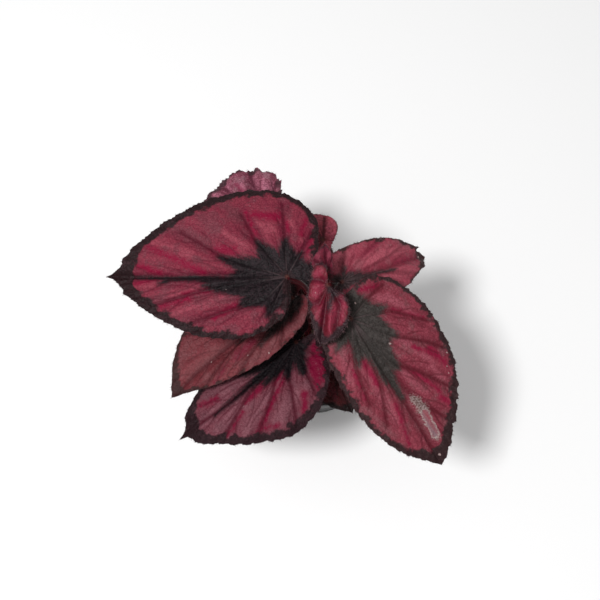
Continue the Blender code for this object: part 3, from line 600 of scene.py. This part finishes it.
def leafMaterial(leaf):
    # red in broad rays, painted lighter as highlight where the blade swells between its veins, with grain and painted
    # glints on top; then the strokes, the star round the junction, the margin, and the veins with painted shade along
    # them, whose field lines noise makes ragged
    colour = leaf["colours"]
    speck, shade = leaf.get("speck", 1.1), leaf.get("veinShade", 1.0)
    # mauve: the colour of the painted sheen, the red greyed towards the rim's tone
    mauve = tuple(0.45 * red + 1.2 * rim for red, rim in zip(colour["red"], colour["rim"]))
    material, tree, shader = newMaterial(leaf["node"] + "_skin")
    flat, ray = attribute(tree, "flat", "Vector"), attribute(tree, "ray", "Vector")
    middle, fine = noise(tree, flat, 0.42, 4.0, 0.6), noise(tree, flat, 1.5, 3.0, 0.6)
    grain, patch = noise(tree, flat, 4.0, 2.0), noise(tree, flat, 0.13, 3.0, 0.6)
    streak = noise(tree, ray, 1.0, 2.0, 0.5)
    swell, veins, sides = attribute(tree, "swell"), attribute(tree, "veins"), attribute(tree, "sides")
    tone = calc(tree, "MULTIPLY_ADD", streak, 0.5, calc(tree, "MULTIPLY", middle, 0.3))
    # painted highlight: swell lightens the red between the veins, where the blade bulges
    tone = calc(tree, "MULTIPLY_ADD", swell, 0.2, tone)
    top = mixed(tree, fade(tree, tone, 0.42, 0.66), colour["deep"], colour["red"])
    # bright strokes: the leaf's own pink, partly painted highlight
    top = mixed(tree, ragged(tree, attribute(tree, "bright"), streak, 6.0, 1.5, 0.8), top, colour["bright"])
    # painted sheen: the red turns mauve where light would glance off the hairy blade
    top = mixed(tree, ragged(tree, attribute(tree, "paintedSheen"), middle, 5.0, 2.0, 0.8), top, mauve)
    top = mixed(tree, fade(tree, patch, 0.50, 0.64, 0.7 * speck), top, mauve)
    sand = calc(tree, "MULTIPLY_ADD", grain, 0.5, fine)
    top = mixed(tree, fade(tree, sand, 0.78, 0.96, 0.6 * speck), top, colour["bright"])
    top = mixed(tree, fade(tree, sand, 0.72, 0.54, 0.5 * speck), top, colour["net"])
    blotch = calc(tree, "MULTIPLY_ADD", middle, 0.6, calc(tree, "MULTIPLY", fine, 0.4))
    top = mixed(tree, fade(tree, blotch, 0.50, 0.36, 0.6), top, colour["deep"])
    net = cells(tree, warped(tree, flat, 0.5, 1.6), 0.46)
    top = mixed(tree, calc(tree, "MULTIPLY", fade(tree, net, 0.09, 0.0), fade(tree, middle, 0.36, 0.56, 0.5 * speck)), top,
                colour["net"])
    # crimson strokes: the leaf's own crimson, partly painted shade in the vein grooves
    top = mixed(tree, ragged(tree, attribute(tree, "crimson"), blotch, 8.0, 1.5, 0.95), top, colour["crimson"])
    glint = calc(tree, "MULTIPLY", fade(tree, cells(tree, flat, 1.2, "F1"), 0.17, 0.06), fade(tree, patch, 0.42, 0.6))
    top = mixed(tree, calc(tree, "MULTIPLY", glint, 0.5 * speck), top, blade["glint"])
    # painted shade in the grooves: side veins and main veins darken the red around them, as far as veinShade lets
    top = mixed(tree, fade(tree, sides, -0.7, 0.1, 0.6 * shade), top, colour["net"])
    top = mixed(tree, fade(tree, veins, -1.5, 0.15, 0.9 * shade), top, colour["net"])
    starColour = mixed(tree, fade(tree, blotch, 0.42, 0.60), colour["dark"], colour["pale"])
    starColour = mixed(tree, fade(tree, sand, 0.76, 0.98, 0.5), starColour, colour["rim"])
    starColour = mixed(tree, fade(tree, sides, -0.5, 0.1, 0.5), starColour, colour["dark"])
    starColour = mixed(tree, fade(tree, veins, -0.9, 0.0, 0.7), starColour, colour["dark"])
    close = fade(tree, attribute(tree, "hub"), -16.0, -2.0, leaf.get("veinPale", 0.4))
    starColour = mixed(tree, calc(tree, "MULTIPLY", fade(tree, veins, -0.35, 0.1), close), starColour, blade["paleVein"])
    shaggy = calc(tree, "MULTIPLY_ADD", streak, 0.35, calc(tree, "MULTIPLY_ADD", middle, 0.3,
                                                           calc(tree, "MULTIPLY", fine, 0.35)))
    top = mixed(tree, ragged(tree, attribute(tree, "star"), shaggy, 10.0, 1.7), top, starColour)
    ruffle = calc(tree, "MULTIPLY_ADD", noise(tree, flat, 0.25, 2.0), 0.6, calc(tree, "MULTIPLY", blotch, 0.4))
    marginColour = mixed(tree, fade(tree, blotch, 0.48, 0.70), colour["margin"], colour["rim"])
    marginColour = mixed(tree, fade(tree, sand, 0.84, 1.04, 0.3), marginColour, colour["deep"])
    top = mixed(tree, ragged(tree, attribute(tree, "band"), ruffle, min(11.0, leaf["length"] / 5), 0.8), top, marginColour)
    top = mixed(tree, fade(tree, attribute(tree, "rimGap"), 0.6, 0.0, 0.3), top, colour["rim"])
    top = mixed(tree, fade(tree, attribute(tree, "hub"), -0.8, 0.8, 0.7), top, blade["hub"])
    if "scar" in leaf:
        scarColour = mixed(tree, fade(tree, sand, 0.62, 0.90), blade["scarDark"], blade["scarPale"])
        top = mixed(tree, ragged(tree, attribute(tree, "scar"), blotch, 7.0, 0.9, 0.8), top, scarColour)
        blister = calc(tree, "MULTIPLY_ADD", calc(tree, "SUBTRACT", middle, 0.5), 4.0, attribute(tree, "blister"))
        top = mixed(tree, calc(tree, "MULTIPLY", fade(tree, blister, -0.7, 0.0), fade(tree, sand, 0.5, 0.85, 0.85)), top,
                    blade["scarPale"])
        inside = mixed(tree, fade(tree, streak, 0.40, 0.60), colour["red"], blade["scarMauve"])
        top = mixed(tree, fade(tree, blister, 0.0, 0.9, 0.8), top, inside)
    top = mixed(tree, ragged(tree, attribute(tree, "flecks"), fine, 0.8, 0.15, 0.8), top, blade["fleckColour"])
    under = mixed(tree, fade(tree, middle, 0.35, 0.65), blade["under"], colour["rim"])
    under = mixed(tree, fade(tree, sides, -0.5, 0.1, 0.6), under, blade["underPale"])
    under = mixed(tree, fade(tree, veins, -0.7, 0.1, 0.85), under, blade["underPale"])
    tree.links.new(mixed(tree, attribute(tree, "under"), top, under), shader.inputs["Base Color"])
    rough = fade(tree, blotch, 0.3, 0.7)
    rough.node.inputs["To Min"].default_value, rough.node.inputs["To Max"].default_value = leaf.get(
        "rough", blade["rough"])
    tree.links.new(rough, shader.inputs["Roughness"])
    shader.inputs["Specular IOR Level"].default_value = leaf.get("gloss", blade["gloss"])
    shader.inputs["Sheen Weight"].default_value = 0.012
    shader.inputs["Sheen Roughness"].default_value = 0.4
    height = calc(tree, "MULTIPLY_ADD", grain, 0.35, calc(tree, "MULTIPLY", fine, 0.7))
    height = calc(tree, "ADD", height, fade(tree, net, 0.0, 0.30, 0.8))
    bumped(tree, shader, height, blade["bump"], 0.8)
    return material


def makeBlade(leaf):
    # rows of points from the junction out to the edge: each is the edge scaled by its share, lifted by quilting
    # and waves, with grooves along the veins; the under side is the same a little lower, with ribs for the veins
    rng = np.random.default_rng(leaf["seed"])
    edge = leafEdge(leaf)
    here = np.linspace(0, 1, len(edge))
    lengthRound = np.concatenate([[0], np.cumsum(np.linalg.norm(np.diff(edge, axis=0), axis=1))])
    size = leaf["tooth"] / 0.9
    jag = blade["scallop"] * size * waves(lengthRound, 0.0, 6.0, leaf["seed"])
    jag += blade["saw"] * size * waves(lengthRound, 0.0, blade["sawPitch"], leaf["seed"] + 1)
    jag += 0.25 * leaf["tooth"] * np.cos(tau * here * leaf["teeth"])
    reach = np.linalg.norm(edge, axis=1)
    for along, side, depth, wide in leaf.get("nicks", ()):
        at = lengthRound[np.argmin(np.abs(edge[:, 0] - along) + 50 * (np.sign(edge[:, 1] + side * 1e-3) != side))]
        jag -= depth * np.exp(-(((lengthRound - at) / wide) ** 2))
    nearTip = np.abs(lengthRound - lengthRound[len(edge) // 2])
    jag = np.clip(jag, -0.12 * reach, 0.12 * reach) * (1 - np.exp(-((nearTip / (5 * size)) ** 2)))
    t = np.linspace(0, 1, leaf["rings"] + 1)[1:]
    share = (1 - (1 - t) ** blade["ringPower"])[:, None]
    outward = edge / reach[:, None]
    flat = edge * share[..., None] + outward * (jag * share**5)[..., None]
    grid = flat.shape[:2]
    flat = flat.reshape(-1, 2)
    veins, sides = np.full(len(flat), -8.0), np.full(len(flat), -8.0)
    for knots in leaf["veins"]:
        line = smoothLine(knots, 20)
        whole = np.linalg.norm(np.diff(line, axis=0), axis=1).sum()
        veins = np.maximum(veins, lineGap(flat, line, 0.12 + whole / 500, 0.05))
        for branch in branchLines(line, leaf, rng):
            sides = np.maximum(sides, lineGap(flat, branch, 0.14, 0.03))
    rimGap = np.full(len(flat), 1e9)
    for chunk in np.array_split(edge, 24):
        rimGap = np.minimum(rimGap, np.sqrt(((flat[:, None] - chunk[::2][None]) ** 2).sum(-1)).min(1))
    wideGap, gap = np.maximum(-veins, 0), np.maximum(-np.maximum(veins, sides), 0)
    u, s = np.broadcast_to(here, grid).ravel(), np.broadcast_to(share, grid).ravel()
    calm = np.clip(s * 3, 0, 1)
    lift = 3 * leaf["quilt"] * np.sin(math.pi * 8 * u) ** 2 * s * (1.1 - s)
    lift += leaf["wave"] * np.sin(tau * 7 * u + leaf["heading"]) * s**4
    puff = blade["puff"] * leaf.get("puff", 1.0) * size * calm
    lift += puff * (0.5 - np.exp(-((wideGap / leaf.get("pillow", 3.2)) ** 2)))
    lift += 0.4 * puff * (0.5 - np.exp(-((gap / 1.5) ** 2)))
    lift -= blade["groove"] * leaf.get("groove", 1.0) * calm * np.exp(-((np.maximum(-veins, 0) / 0.7) ** 2))
    lift -= blade["sideGroove"] * calm * np.exp(-((np.maximum(-sides, 0) / 0.5) ** 2))
    lift += blade["pebble"] * calm * waves(flat[:, 0], flat[:, 1], 3.4, leaf["seed"] + 2, 14)
    lift += blade["curl"] * size * waves(u * lengthRound[-1], 0.0, 7.0, leaf["seed"] + 3) * s**7
    thick = blade["thick"] + (blade["thinRim"] - blade["thick"]) * s**6
    rib = blade["rib"] * np.exp(-((np.maximum(-veins, 0) / 0.6) ** 2)) * (1 - s**4)
    rib += 0.5 * blade["rib"] * np.exp(-((np.maximum(-sides, 0) / 0.45) ** 2)) * (1 - s**4)
    upper = onLeaf(flat[:, 0], flat[:, 1], lift + thick, leaf)
    lower = onLeaf(flat[:, 0], flat[:, 1], lift - thick - rib, leaf)
    hub = onLeaf(np.zeros(2), np.zeros(2), np.array([blade["thick"], -blade["thick"] - blade["rib"]]), leaf)
    rows, across = grid
    count = rows * across
    number = np.arange(count).reshape(grid)
    quads = np.stack([number[:-1, :-1], number[1:, :-1], number[1:, 1:], number[:-1, 1:]], -1).reshape(-1, 4)
    fan = np.stack([np.full(across - 1, 2 * count), number[0, :-1], number[0, 1:]], -1)
    ring = np.concatenate([number[:, 0], number[-1, 1:], number[::-1, -1][1:]])
    wall = np.stack([ring[:-1], ring[:-1] + count, ring[1:] + count, ring[1:]], -1)
    first, last = number[0, 0], number[0, -1]
    close = np.array([[2 * count, 2 * count + 1, first + count, first], [last, last + count, 2 * count + 1, 2 * count]])
    underFan = fan[:, ::-1] + count
    underFan[:, 2] = 2 * count + 1
    piece = makePiece(
        leaf["node"] + "_form", np.vstack([upper, lower, hub]),
        [quads, quads[:, ::-1] + count, wall, close, fan, underFan], [leafMaterial(leaf)],
        (leaf["node"] + "_blade",))
    left, right = (np.array(band, float).T for band in leaf["bands"])
    width = np.where(flat[:, 1] >= 0, np.interp(flat[:, 0], *left), np.interp(flat[:, 0], *right))
    width = width - 0.9 + 1.2 * size * np.exp(-((np.maximum(-np.maximum(veins, sides + 0.3), 0) / 1.4) ** 2))
    fields = dict(
        veins=np.maximum(veins, -6), sides=np.maximum(sides, -6), rimGap=rimGap, band=width - rimGap,
        star=strokeField(flat, leaf["star"]), bright=strokeField(flat, leaf["bright"]),
        crimson=strokeField(flat, leaf["crimson"]), paintedSheen=strokeField(flat, leaf["paintedSheen"]),
        # swell: how far a point lies between the veins, which paints the highlight
        swell=1 - np.exp(-((wideGap / 2.6) ** 2)),
        flecks=strokeField(flat, [(a, c, a + 0.2, c + 0.1, r * 0.7, r * 0.5) for a, c, r in leaf["flecks"]]),
        hub=0.8 - np.hypot(*flat.T),
    )
    if "scar" in leaf:
        fields["scar"], fields["blister"] = strokeField(flat, leaf["scar"]), strokeField(flat, leaf["blister"])
    for name, values in fields.items():
        middleValue = 0.8 if name == "hub" else values[number[0]].mean()
        writeField(piece, name, np.concatenate([values, values, [middleValue, middleValue]]))
    writeField(piece, "under", np.concatenate([np.zeros(count), np.ones(count), [0, 1]]))
    zero = np.zeros(count)
    shift = leaf["seed"] * 3.7
    place = np.stack([flat[:, 0] + shift, flat[:, 1], zero], -1)
    writeField(piece, "flat", np.vstack([place, place + (0, 0, 40), [[shift, 0, 0], [shift, 0, 40]]]))
    ray = np.stack([u * lengthRound[-1] * 0.26 + shift, s * 2.6, zero], -1)
    writeField(piece, "ray", np.vstack([ray, ray, [[shift, 0, 0]] * 2]))
    rimUp, rimDown = upper.reshape(*grid, 3)[-1], lower.reshape(*grid, 3)[-1]
    inner = upper.reshape(*grid, 3)[-4]
    return dict(rim=(rimUp + rimDown) / 2, outward=unit(rimUp - inner), upper=upper.reshape(*grid, 3),
                size=lengthRound[-1])


# Hairs on the blades' edges and faces

hair = dict(thick=0.045, rimEvery=0.5, rimLength=(0.5, 1.3), faceEvery=9.0, faceLength=(0.5, 1.1), spread=0.45,
            root=(0.045, 0.010, 0.013), tip=(0.11, 0.045, 0.05))


def hairMaterial(name, look):
    # colour drifts between two tones over a few millimetres
    material, tree, shader = newMaterial(name)
    drift = noise(tree, objectPlace(tree), 400.0, 2.0)
    tree.links.new(mixed(tree, fade(tree, drift, 0.35, 0.65), look["root"], look["tip"]), shader.inputs["Base Color"])
    shader.inputs["Roughness"].default_value = 0.5
    shader.inputs["Specular IOR Level"].default_value = 0.1
    return material


def makeBladeHairs(leaf, made, material):
    # spikes every half millimetre or so round the edge, leaning out, and a few standing on the upper face
    rng = np.random.default_rng(leaf["seed"] + 5)
    fuzz = leaf.get("fuzz", 1.0)
    wanted = int(made["size"] / hair["rimEvery"] * fuzz)
    k = rng.integers(2, len(made["rim"]) - 2, wanted)
    sway = rng.normal(size=(wanted, 3)) * hair["spread"]
    roots, ways = made["rim"][k], made["outward"][k] + sway
    upper = made["upper"]
    normal = unit(np.cross(upper[2:, 1:-1] - upper[:-2, 1:-1], upper[1:-1, 2:] - upper[1:-1, :-2]))
    normal *= np.sign((normal @ leafAxes(leaf)[2]).mean())
    area = leaf["length"] * (leaf["left"][0] + leaf["right"][0]) * 0.7
    few = int(area / hair["faceEvery"] * fuzz)
    rows = (normal.shape[0] * rng.uniform(0.02, 1, few) ** 0.5).astype(int).clip(0, normal.shape[0] - 1)
    columns = rng.integers(0, normal.shape[1], few)
    standing = normal[rows, columns]
    roots = np.vstack([roots, upper[rows + 1, columns + 1]])
    ways = np.vstack([ways, standing + rng.normal(size=(few, 3)) * hair["spread"]])
    lengths = np.concatenate([rng.uniform(*hair["rimLength"], wanted), rng.uniform(*hair["faceLength"], few)])
    lengths *= fuzz**0.5
    hairPiece(leaf["node"] + "_hairs", roots, ways, lengths, hair["thick"], material, leaf["seed"])


# Stalks

stalk = dict(sides=18, steps=70, lean=48.0, ridges=5, ridge=0.045, swell=0.28, flare=0.35,
             red=(0.085, 0.006, 0.010), deep=(0.026, 0.003, 0.005), pale=(0.13, 0.035, 0.036), hairEvery=1.1,
             hairLength=(0.8, 2.2), root=(0.05, 0.005, 0.008), tip=(0.09, 0.020, 0.024))


def seatOnRhizome(share, degrees):
    turn, slim = math.radians(degrees), math.sqrt(1 - share**2)
    radius = 7.0 * slim
    point = np.array([15.0 * share, radius * math.sin(turn), 58.0 + radius * math.cos(turn)])
    off = np.array([share / 15.0, slim * math.sin(turn) / 7.0, slim * math.cos(turn) / 7.0])
    return point, off / np.linalg.norm(off)


def stalkMaterial():
    # long streaks down the stalk, short pale flecks, and darker blotches
    material, tree, shader = newMaterial("stalk_skin")
    ray = attribute(tree, "ray", "Vector")
    streak, blotch = noise(tree, stretched(tree, ray, (1.6, 0.10, 1.0)), 1.0, 3.0), noise(tree, ray, 0.35, 3.0)
    skin = mixed(tree, fade(tree, streak, 0.35, 0.68), stalk["deep"], stalk["red"])
    dashes = noise(tree, stretched(tree, ray, (2.4, 0.7, 1.0)), 1.0, 2.0)
    skin = mixed(tree, fade(tree, dashes, 0.64, 0.74, 0.55), skin, stalk["pale"])
    skin = mixed(tree, fade(tree, blotch, 0.5, 0.75, 0.5), skin, stalk["deep"])
    tree.links.new(skin, shader.inputs["Base Color"])
    shader.inputs["Roughness"].default_value = 0.42
    shader.inputs["Specular IOR Level"].default_value = 0.12
    bumped(tree, shader, streak, 0.0002, 0.7)
    return material


def makeStalk(leaf, skin, fuzz):
    # a Bezier from the rhizome to the blade with a ring at each step: its radius tapers, swells at the foot and
    # flares at the top, with low ridges down its length
    along, _, up = leafAxes(leaf)
    footRadius, topRadius = leaf["stalk"]
    foot, off = seatOnRhizome(*leaf["seat"])
    lean = math.radians(stalk["lean"])
    arrive = up * math.cos(lean) + along * math.sin(lean)
    junction = np.array(leaf["junction"], float)
    start = foot + off * 0.55
    end = junction - up * (0.7 + topRadius * math.sin(lean))
    rise, run = leaf["reach"]
    t = np.linspace(0, 1, stalk["steps"])[:, None]
    path = ((1 - t) ** 3 * start + 3 * (1 - t) ** 2 * t * (start + off * rise)
            + 3 * (1 - t) * t**2 * (end - arrive * run) + t**3 * end)
    path = np.vstack([start - off * 1.6, path, junction - up * 0.45 + along * 0.4])
    path = evenly(path, stalk["steps"])
    share = np.linspace(0, 1, len(path))
    way = unit(np.gradient(path, axis=0))
    plane = unit(np.cross(off, arrive) + 1e-6)
    side = unit(np.cross(way, plane))
    other = np.cross(way, side)
    turn = np.arange(stalk["sides"]) * tau / stalk["sides"]
    radius = footRadius + (topRadius - footRadius) * share
    radius = radius * (1 + stalk["swell"] * np.exp(-((share / 0.07) ** 2)) + stalk["flare"] * np.clip(
        (share - 0.95) / 0.05, 0, 1) ** 2)
    skinRadius = radius[:, None] * (1 + stalk["ridge"] * np.cos(stalk["ridges"] * turn + share[:, None] * 3)
                                    + 0.02 * waves(turn[None] * 2, share[:, None] * 60, 7.0, leaf["seed"]))
    ring = np.cos(turn)[None, :, None] * side[:, None] + np.sin(turn)[None, :, None] * other[:, None]
    points = path[:, None] + ring * skinRadius[..., None]
    flat = points.reshape(-1, 3)
    piece = makePiece(leaf["node"] + "_stem", np.vstack([flat, path[:1] - way[:1] * 0.3, path[-1:] + way[-1:] * 0.1]),
                      ringFaces(len(path), stalk["sides"]), [skin], (leaf["node"] + "_stalk",))
    whole = np.linalg.norm(np.diff(path, axis=0), axis=1).sum()
    ray = np.stack(np.broadcast_arrays(np.cos(turn)[None] * 2, share[:, None] * whole + leaf["seed"] * 9,
                                       np.sin(turn)[None] * 2), -1).reshape(-1, 3)
    writeField(piece, "ray", np.vstack([ray, ray[:1], ray[-1:]]))
    rng = np.random.default_rng(leaf["seed"] + 9)
    count = int(whole * 6 / stalk["hairEvery"])
    rows, columns = rng.integers(3, len(path) - 2, count), rng.integers(0, stalk["sides"], count)
    roots = points[rows, columns] + way[rows] * rng.uniform(-0.5, 0.5, (count, 1)) * 0.8
    ways = ring[rows, columns] + rng.normal(size=(count, 3)) * 0.35
    hairPiece(leaf["node"] + "_stem_hairs", roots, ways, rng.uniform(*stalk["hairLength"], count), 0.05, fuzz,
              leaf["seed"] + 2)


# Rhizome

rhizome = dict(place=(0.0, 0.0, 58.0), half=15.0, radius=7.0, ring=0.25, rings=7, steps=150, sides=110,
               scar=0.35, lump=0.22, green=(0.090, 0.070, 0.030), red=(0.130, 0.040, 0.028),
               brown=(0.060, 0.034, 0.020), paper=(0.22, 0.13, 0.075))


def rhizomeMaterial():
    # red-brown skin with greener patches, browner patches and papery flakes, all from noise on the object's own place
    material, tree, shader = newMaterial("rhizome_skin")
    place = objectPlace(tree)
    broad, middle, fine = (noise(tree, place, scale, 4.0, 0.6) for scale in (90.0, 330.0, 1100.0))
    skin = mixed(tree, fade(tree, broad, 0.35, 0.65), rhizome["red"], rhizome["green"])
    skin = mixed(tree, fade(tree, middle, 0.48, 0.66), skin, rhizome["brown"])
    flakes = noise(tree, stretched(tree, place, (2.6, 1.0, 1.0)), 240.0, 4.0, 0.7)
    skin = mixed(tree, fade(tree, flakes, 0.56, 0.66, 0.7), skin, rhizome["paper"])
    tree.links.new(skin, shader.inputs["Base Color"])
    tree.links.new(fade(tree, middle, 0.2, 0.9), shader.inputs["Roughness"])
    rough = shader.inputs["Roughness"].links[0].from_node
    rough.inputs["To Min"].default_value, rough.inputs["To Max"].default_value = 0.5, 0.85
    bumped(tree, shader, calc(tree, "ADD", middle, fine), 0.0004, 0.8)
    return material


def makeRhizome():
    # a half ellipse turned about X, with low rings, small lumps and a ridge round each old leaf's place
    turns = np.linspace(0, math.pi, rhizome["steps"] + 1)[1:-1]
    share = -np.cos(turns)[:, None]
    angle = (np.arange(rhizome["sides"]) * tau / rhizome["sides"])[None]
    radius = rhizome["radius"] * np.sqrt(1 - share**2) + rhizome["ring"] * np.cos(rhizome["rings"] * math.pi * share)
    bumpy = waves(share * 15, angle * 6, 4.0, 5) * rhizome["lump"]
    scars = np.exp(-((np.mod(share * 15 + np.sin(angle * 2) * 0.8, 2.6) - 1.3) / 0.3) ** 2) * rhizome["scar"]
    radius = radius + (bumpy + scars) * np.sqrt(1 - share**2)
    x, y, z = rhizome["place"]
    points = np.stack(np.broadcast_arrays(x + rhizome["half"] * share, y + radius * np.sin(angle),
                                          z + radius * np.cos(angle)), -1).reshape(-1, 3)
    ends = [(x - rhizome["half"], y, z), (x + rhizome["half"], y, z)]
    makePiece("rhizome_form", np.vstack([points, ends]), ringFaces(len(turns), rhizome["sides"]),
              [rhizomeMaterial()], ("rhizome",))


# Soil, with its grains

soil = dict(level=56.0, crown=1.2, bump=0.45, rim=31.09, footRadius=23.66, footLevel=1.9, rings=90, sides=260,
            crumb=0.55, dark=(0.014, 0.008, 0.005), brown=(0.050, 0.028, 0.016), fibre=(0.13, 0.075, 0.040),
            barkCount=420, barkSize=(0.7, 2.2), perliteCount=110, perliteSize=(0.6, 1.5),
            perliteColour=(0.62, 0.60, 0.56), bark=(0.075, 0.036, 0.020))


def soilHeight(x, y):
    # a low crown, with soft lumps from crossed waves
    r = np.hypot(x, y) / 31.39
    lumps = np.sin(0.61 * x + 0.9) * np.cos(0.53 * y - 0.4) + 0.6 * np.sin(0.37 * x - 0.71 * y + 2.0)
    return soil["level"] + soil["crown"] * (1 - r**2) + soil["bump"] * lumps * (1 - r**6)


def soilMaterial(name, first, second, third, scale):
    # three tones in patches of noise, at a coarse and a fine scale
    material, tree, shader = newMaterial(name)
    place = objectPlace(tree)
    coarse, fine = noise(tree, place, scale, 5.0, 0.7), noise(tree, place, scale * 4, 3.0, 0.6)
    skin = mixed(tree, fade(tree, coarse, 0.38, 0.62), first, second)
    skin = mixed(tree, fade(tree, fine, 0.60, 0.72, 0.6), skin, third)
    tree.links.new(skin, shader.inputs["Base Color"])
    shader.inputs["Roughness"].default_value = 0.92
    shader.inputs["Specular IOR Level"].default_value = 0.25
    bumped(tree, shader, calc(tree, "ADD", coarse, fine), 0.0006, 1.0)
    return material


def makeSoil():
    # rings of points from the middle of the top out to the rim, down the wall and in to the foot
    angle = (np.arange(soil["sides"]) * tau / soil["sides"])[None]
    share = np.linspace(0.012, 1, soil["rings"])[:, None]
    x, y = soil["rim"] * share * np.cos(angle), soil["rim"] * share * np.sin(angle)
    crumbs = waves(x, y, 2.2, 3, 16) + 0.6 * waves(x, y, 1.1, 4, 16)
    z = soilHeight(x, y) + soil["crumb"] * crumbs * (1 - share**12)
    side = np.linspace(0, 1, 12)[1:, None]
    radius = soil["rim"] + (soil["footRadius"] - soil["rim"]) * side
    top = np.stack([x, y, z], -1)
    wall = np.stack(np.broadcast_arrays(radius * np.cos(angle), radius * np.sin(angle),
                                        soil["level"] + (soil["footLevel"] - soil["level"]) * side), -1)
    rows = np.concatenate([top, wall])
    ends = [(0, 0, float(soilHeight(0.0, 0.0))), (0, 0, soil["footLevel"])]
    material = soilMaterial("soil_crumb", soil["dark"], soil["brown"], soil["fibre"], 420.0)
    makePiece("soil_form", np.vstack([rows.reshape(-1, 3), ends]), ringFaces(len(rows), soil["sides"]),
              [material], ("soil",))


def makeGrains(name, count, sizes, stretch, material, seed):
    # small lumps of rings and two points, each squashed, turned and dented on its own, lying on the soil
    rng = np.random.default_rng(seed)
    sides, rings = 7, 3
    turn, tilt = np.arange(sides) * tau / sides, np.arange(1, rings + 1) * math.pi / (rings + 1)
    ball = np.stack(np.broadcast_arrays(np.sin(tilt)[:, None] * np.cos(turn), np.sin(tilt)[:, None] * np.sin(turn),
                                        np.cos(tilt)[:, None]), -1).reshape(-1, 3)
    ball = np.vstack([ball, [(0, 0, 1), (0, 0, -1)]])
    size = rng.uniform(*sizes, count)
    shape = ball[None] * rng.uniform(0.75, 1.25, (count, len(ball), 1)) * (
        size[:, None] * rng.uniform(1 - stretch, 1, (count, 3)))[:, None]
    spin, nod = rng.uniform(0, tau, count), rng.normal(0, 0.35, count)
    cs, sn, cn, nn = np.cos(spin), np.sin(spin), np.cos(nod), np.sin(nod)
    turned = np.stack([np.stack([cs, -sn, 0 * cs], -1), np.stack([sn * cn, cs * cn, -nn], -1),
                       np.stack([sn * nn, cs * nn, cn], -1)], -2)
    shape = np.einsum("nij,nkj->nki", turned, shape)
    reach, angle = 29.0 * np.sqrt(rng.uniform(0.005, 1, count)), rng.uniform(0, tau, count)
    x, y = reach * np.cos(angle), reach * np.sin(angle)
    points = shape + np.stack([x, y, soilHeight(x, y) + size * 0.25], -1)[:, None]
    quads, fans = ringFaces(rings, sides)
    base = (np.arange(count) * len(ball))[:, None, None]
    makePiece(name, points.reshape(-1, 3), [(base + quads).reshape(-1, 4), (base + fans).reshape(-1, 3)],
              [material], smooth=False)


# Pot: the solid's own form, with a better material

pot = dict(black=(0.020, 0.020, 0.021), grey=(0.045, 0.044, 0.043), dust=(0.13, 0.105, 0.08))


def potMaterial():
    # black plastic with a fine satin grain, faint rubbed streaks, and dust of soil towards the rim and foot
    material, tree, shader = newMaterial("pot_plastic")
    place = objectPlace(tree)
    height = tree.nodes.new("ShaderNodeSeparateXYZ")
    tree.links.new(place, height.inputs[0])
    broad, fine = noise(tree, place, 60.0, 4.0, 0.6), noise(tree, place, 2600.0, 2.0)
    rubbed = noise(tree, stretched(tree, place, (1.0, 1.0, 0.12)), 420.0, 3.0)
    skin = mixed(tree, fade(tree, rubbed, 0.5, 0.8, 0.35), pot["black"], pot["grey"])
    near = fade(tree, height.outputs["Z"], 0.046, 0.063)
    foot = fade(tree, height.outputs["Z"], 0.010, 0.0)
    dusty = calc(tree, "MULTIPLY", calc(tree, "ADD", near, foot), fade(tree, broad, 0.48, 0.72, 0.5))
    skin = mixed(tree, dusty, skin, pot["dust"])
    tree.links.new(skin, shader.inputs["Base Color"])
    tree.links.new(fade(tree, broad, 0.3, 0.7), shader.inputs["Roughness"])
    rough = shader.inputs["Roughness"].links[0].from_node
    rough.inputs["To Min"].default_value, rough.inputs["To Max"].default_value = 0.42, 0.6
    bumped(tree, shader, calc(tree, "ADD", calc(tree, "MULTIPLY", fine, 0.5), rubbed), 0.00008, 0.6)
    return material


def makeFloor():
    half = view["floorSize"] / 2
    mesh = bpy.data.meshes.new("floor")
    mesh.from_pydata([(-half, -half, 0), (half, -half, 0), (half, half, 0), (-half, half, 0)], [], [(0, 1, 2, 3)])
    material, tree, shader = newMaterial("floor_paint")
    shader.inputs["Base Color"].default_value = (*view["floorColour"], 1.0)
    shader.inputs["Roughness"].default_value = 0.9
    mesh.materials.append(material)
    floor = bpy.data.objects.new("floor", mesh)
    bpy.context.scene.collection.objects.link(floor)


makeView()
makeFloor()
print("view and floor made")
youngHair = dict(root=(0.05, 0.022, 0.026), tip=(0.20, 0.115, 0.125))
bladeFuzz, youngFuzz = hairMaterial("blade_hair", hair), hairMaterial("young_hair", youngHair)
stalkSkin = stalkMaterial()
stalkFuzz = hairMaterial("stalk_hair", stalk)
for leaf in leaves:
    made = makeBlade(leaf)
    makeBladeHairs(leaf, made, youngFuzz if leaf in (leafYoung, leafBud) else bladeFuzz)
    makeStalk(leaf, stalkSkin, stalkFuzz)
    print(leaf["node"], "made")
makeRhizome()
makeSoil()
makeGrains("soil_bark", soil["barkCount"], soil["barkSize"], 0.65,
           soilMaterial("bark_bits", soil["dark"], soil["bark"], soil["fibre"], 700.0), 7)
makeGrains("soil_perlite", soil["perliteCount"], soil["perliteSize"], 0.3,
           soilMaterial("perlite_bits", soil["perliteColour"], (0.48, 0.45, 0.40), (0.75, 0.74, 0.70), 900.0), 8)
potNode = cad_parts["pot"]
potNode.data.materials.clear()
potNode.data.materials.append(potMaterial())
print("rhizome, soil and pot made")

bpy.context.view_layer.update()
triangles = {o.name: len(o.data.loops) - 2 * len(o.data.polygons) for o in bpy.data.objects if o.type == "MESH"}
print("triangles:", sum(triangles.values()), "most:", max(triangles.values()))
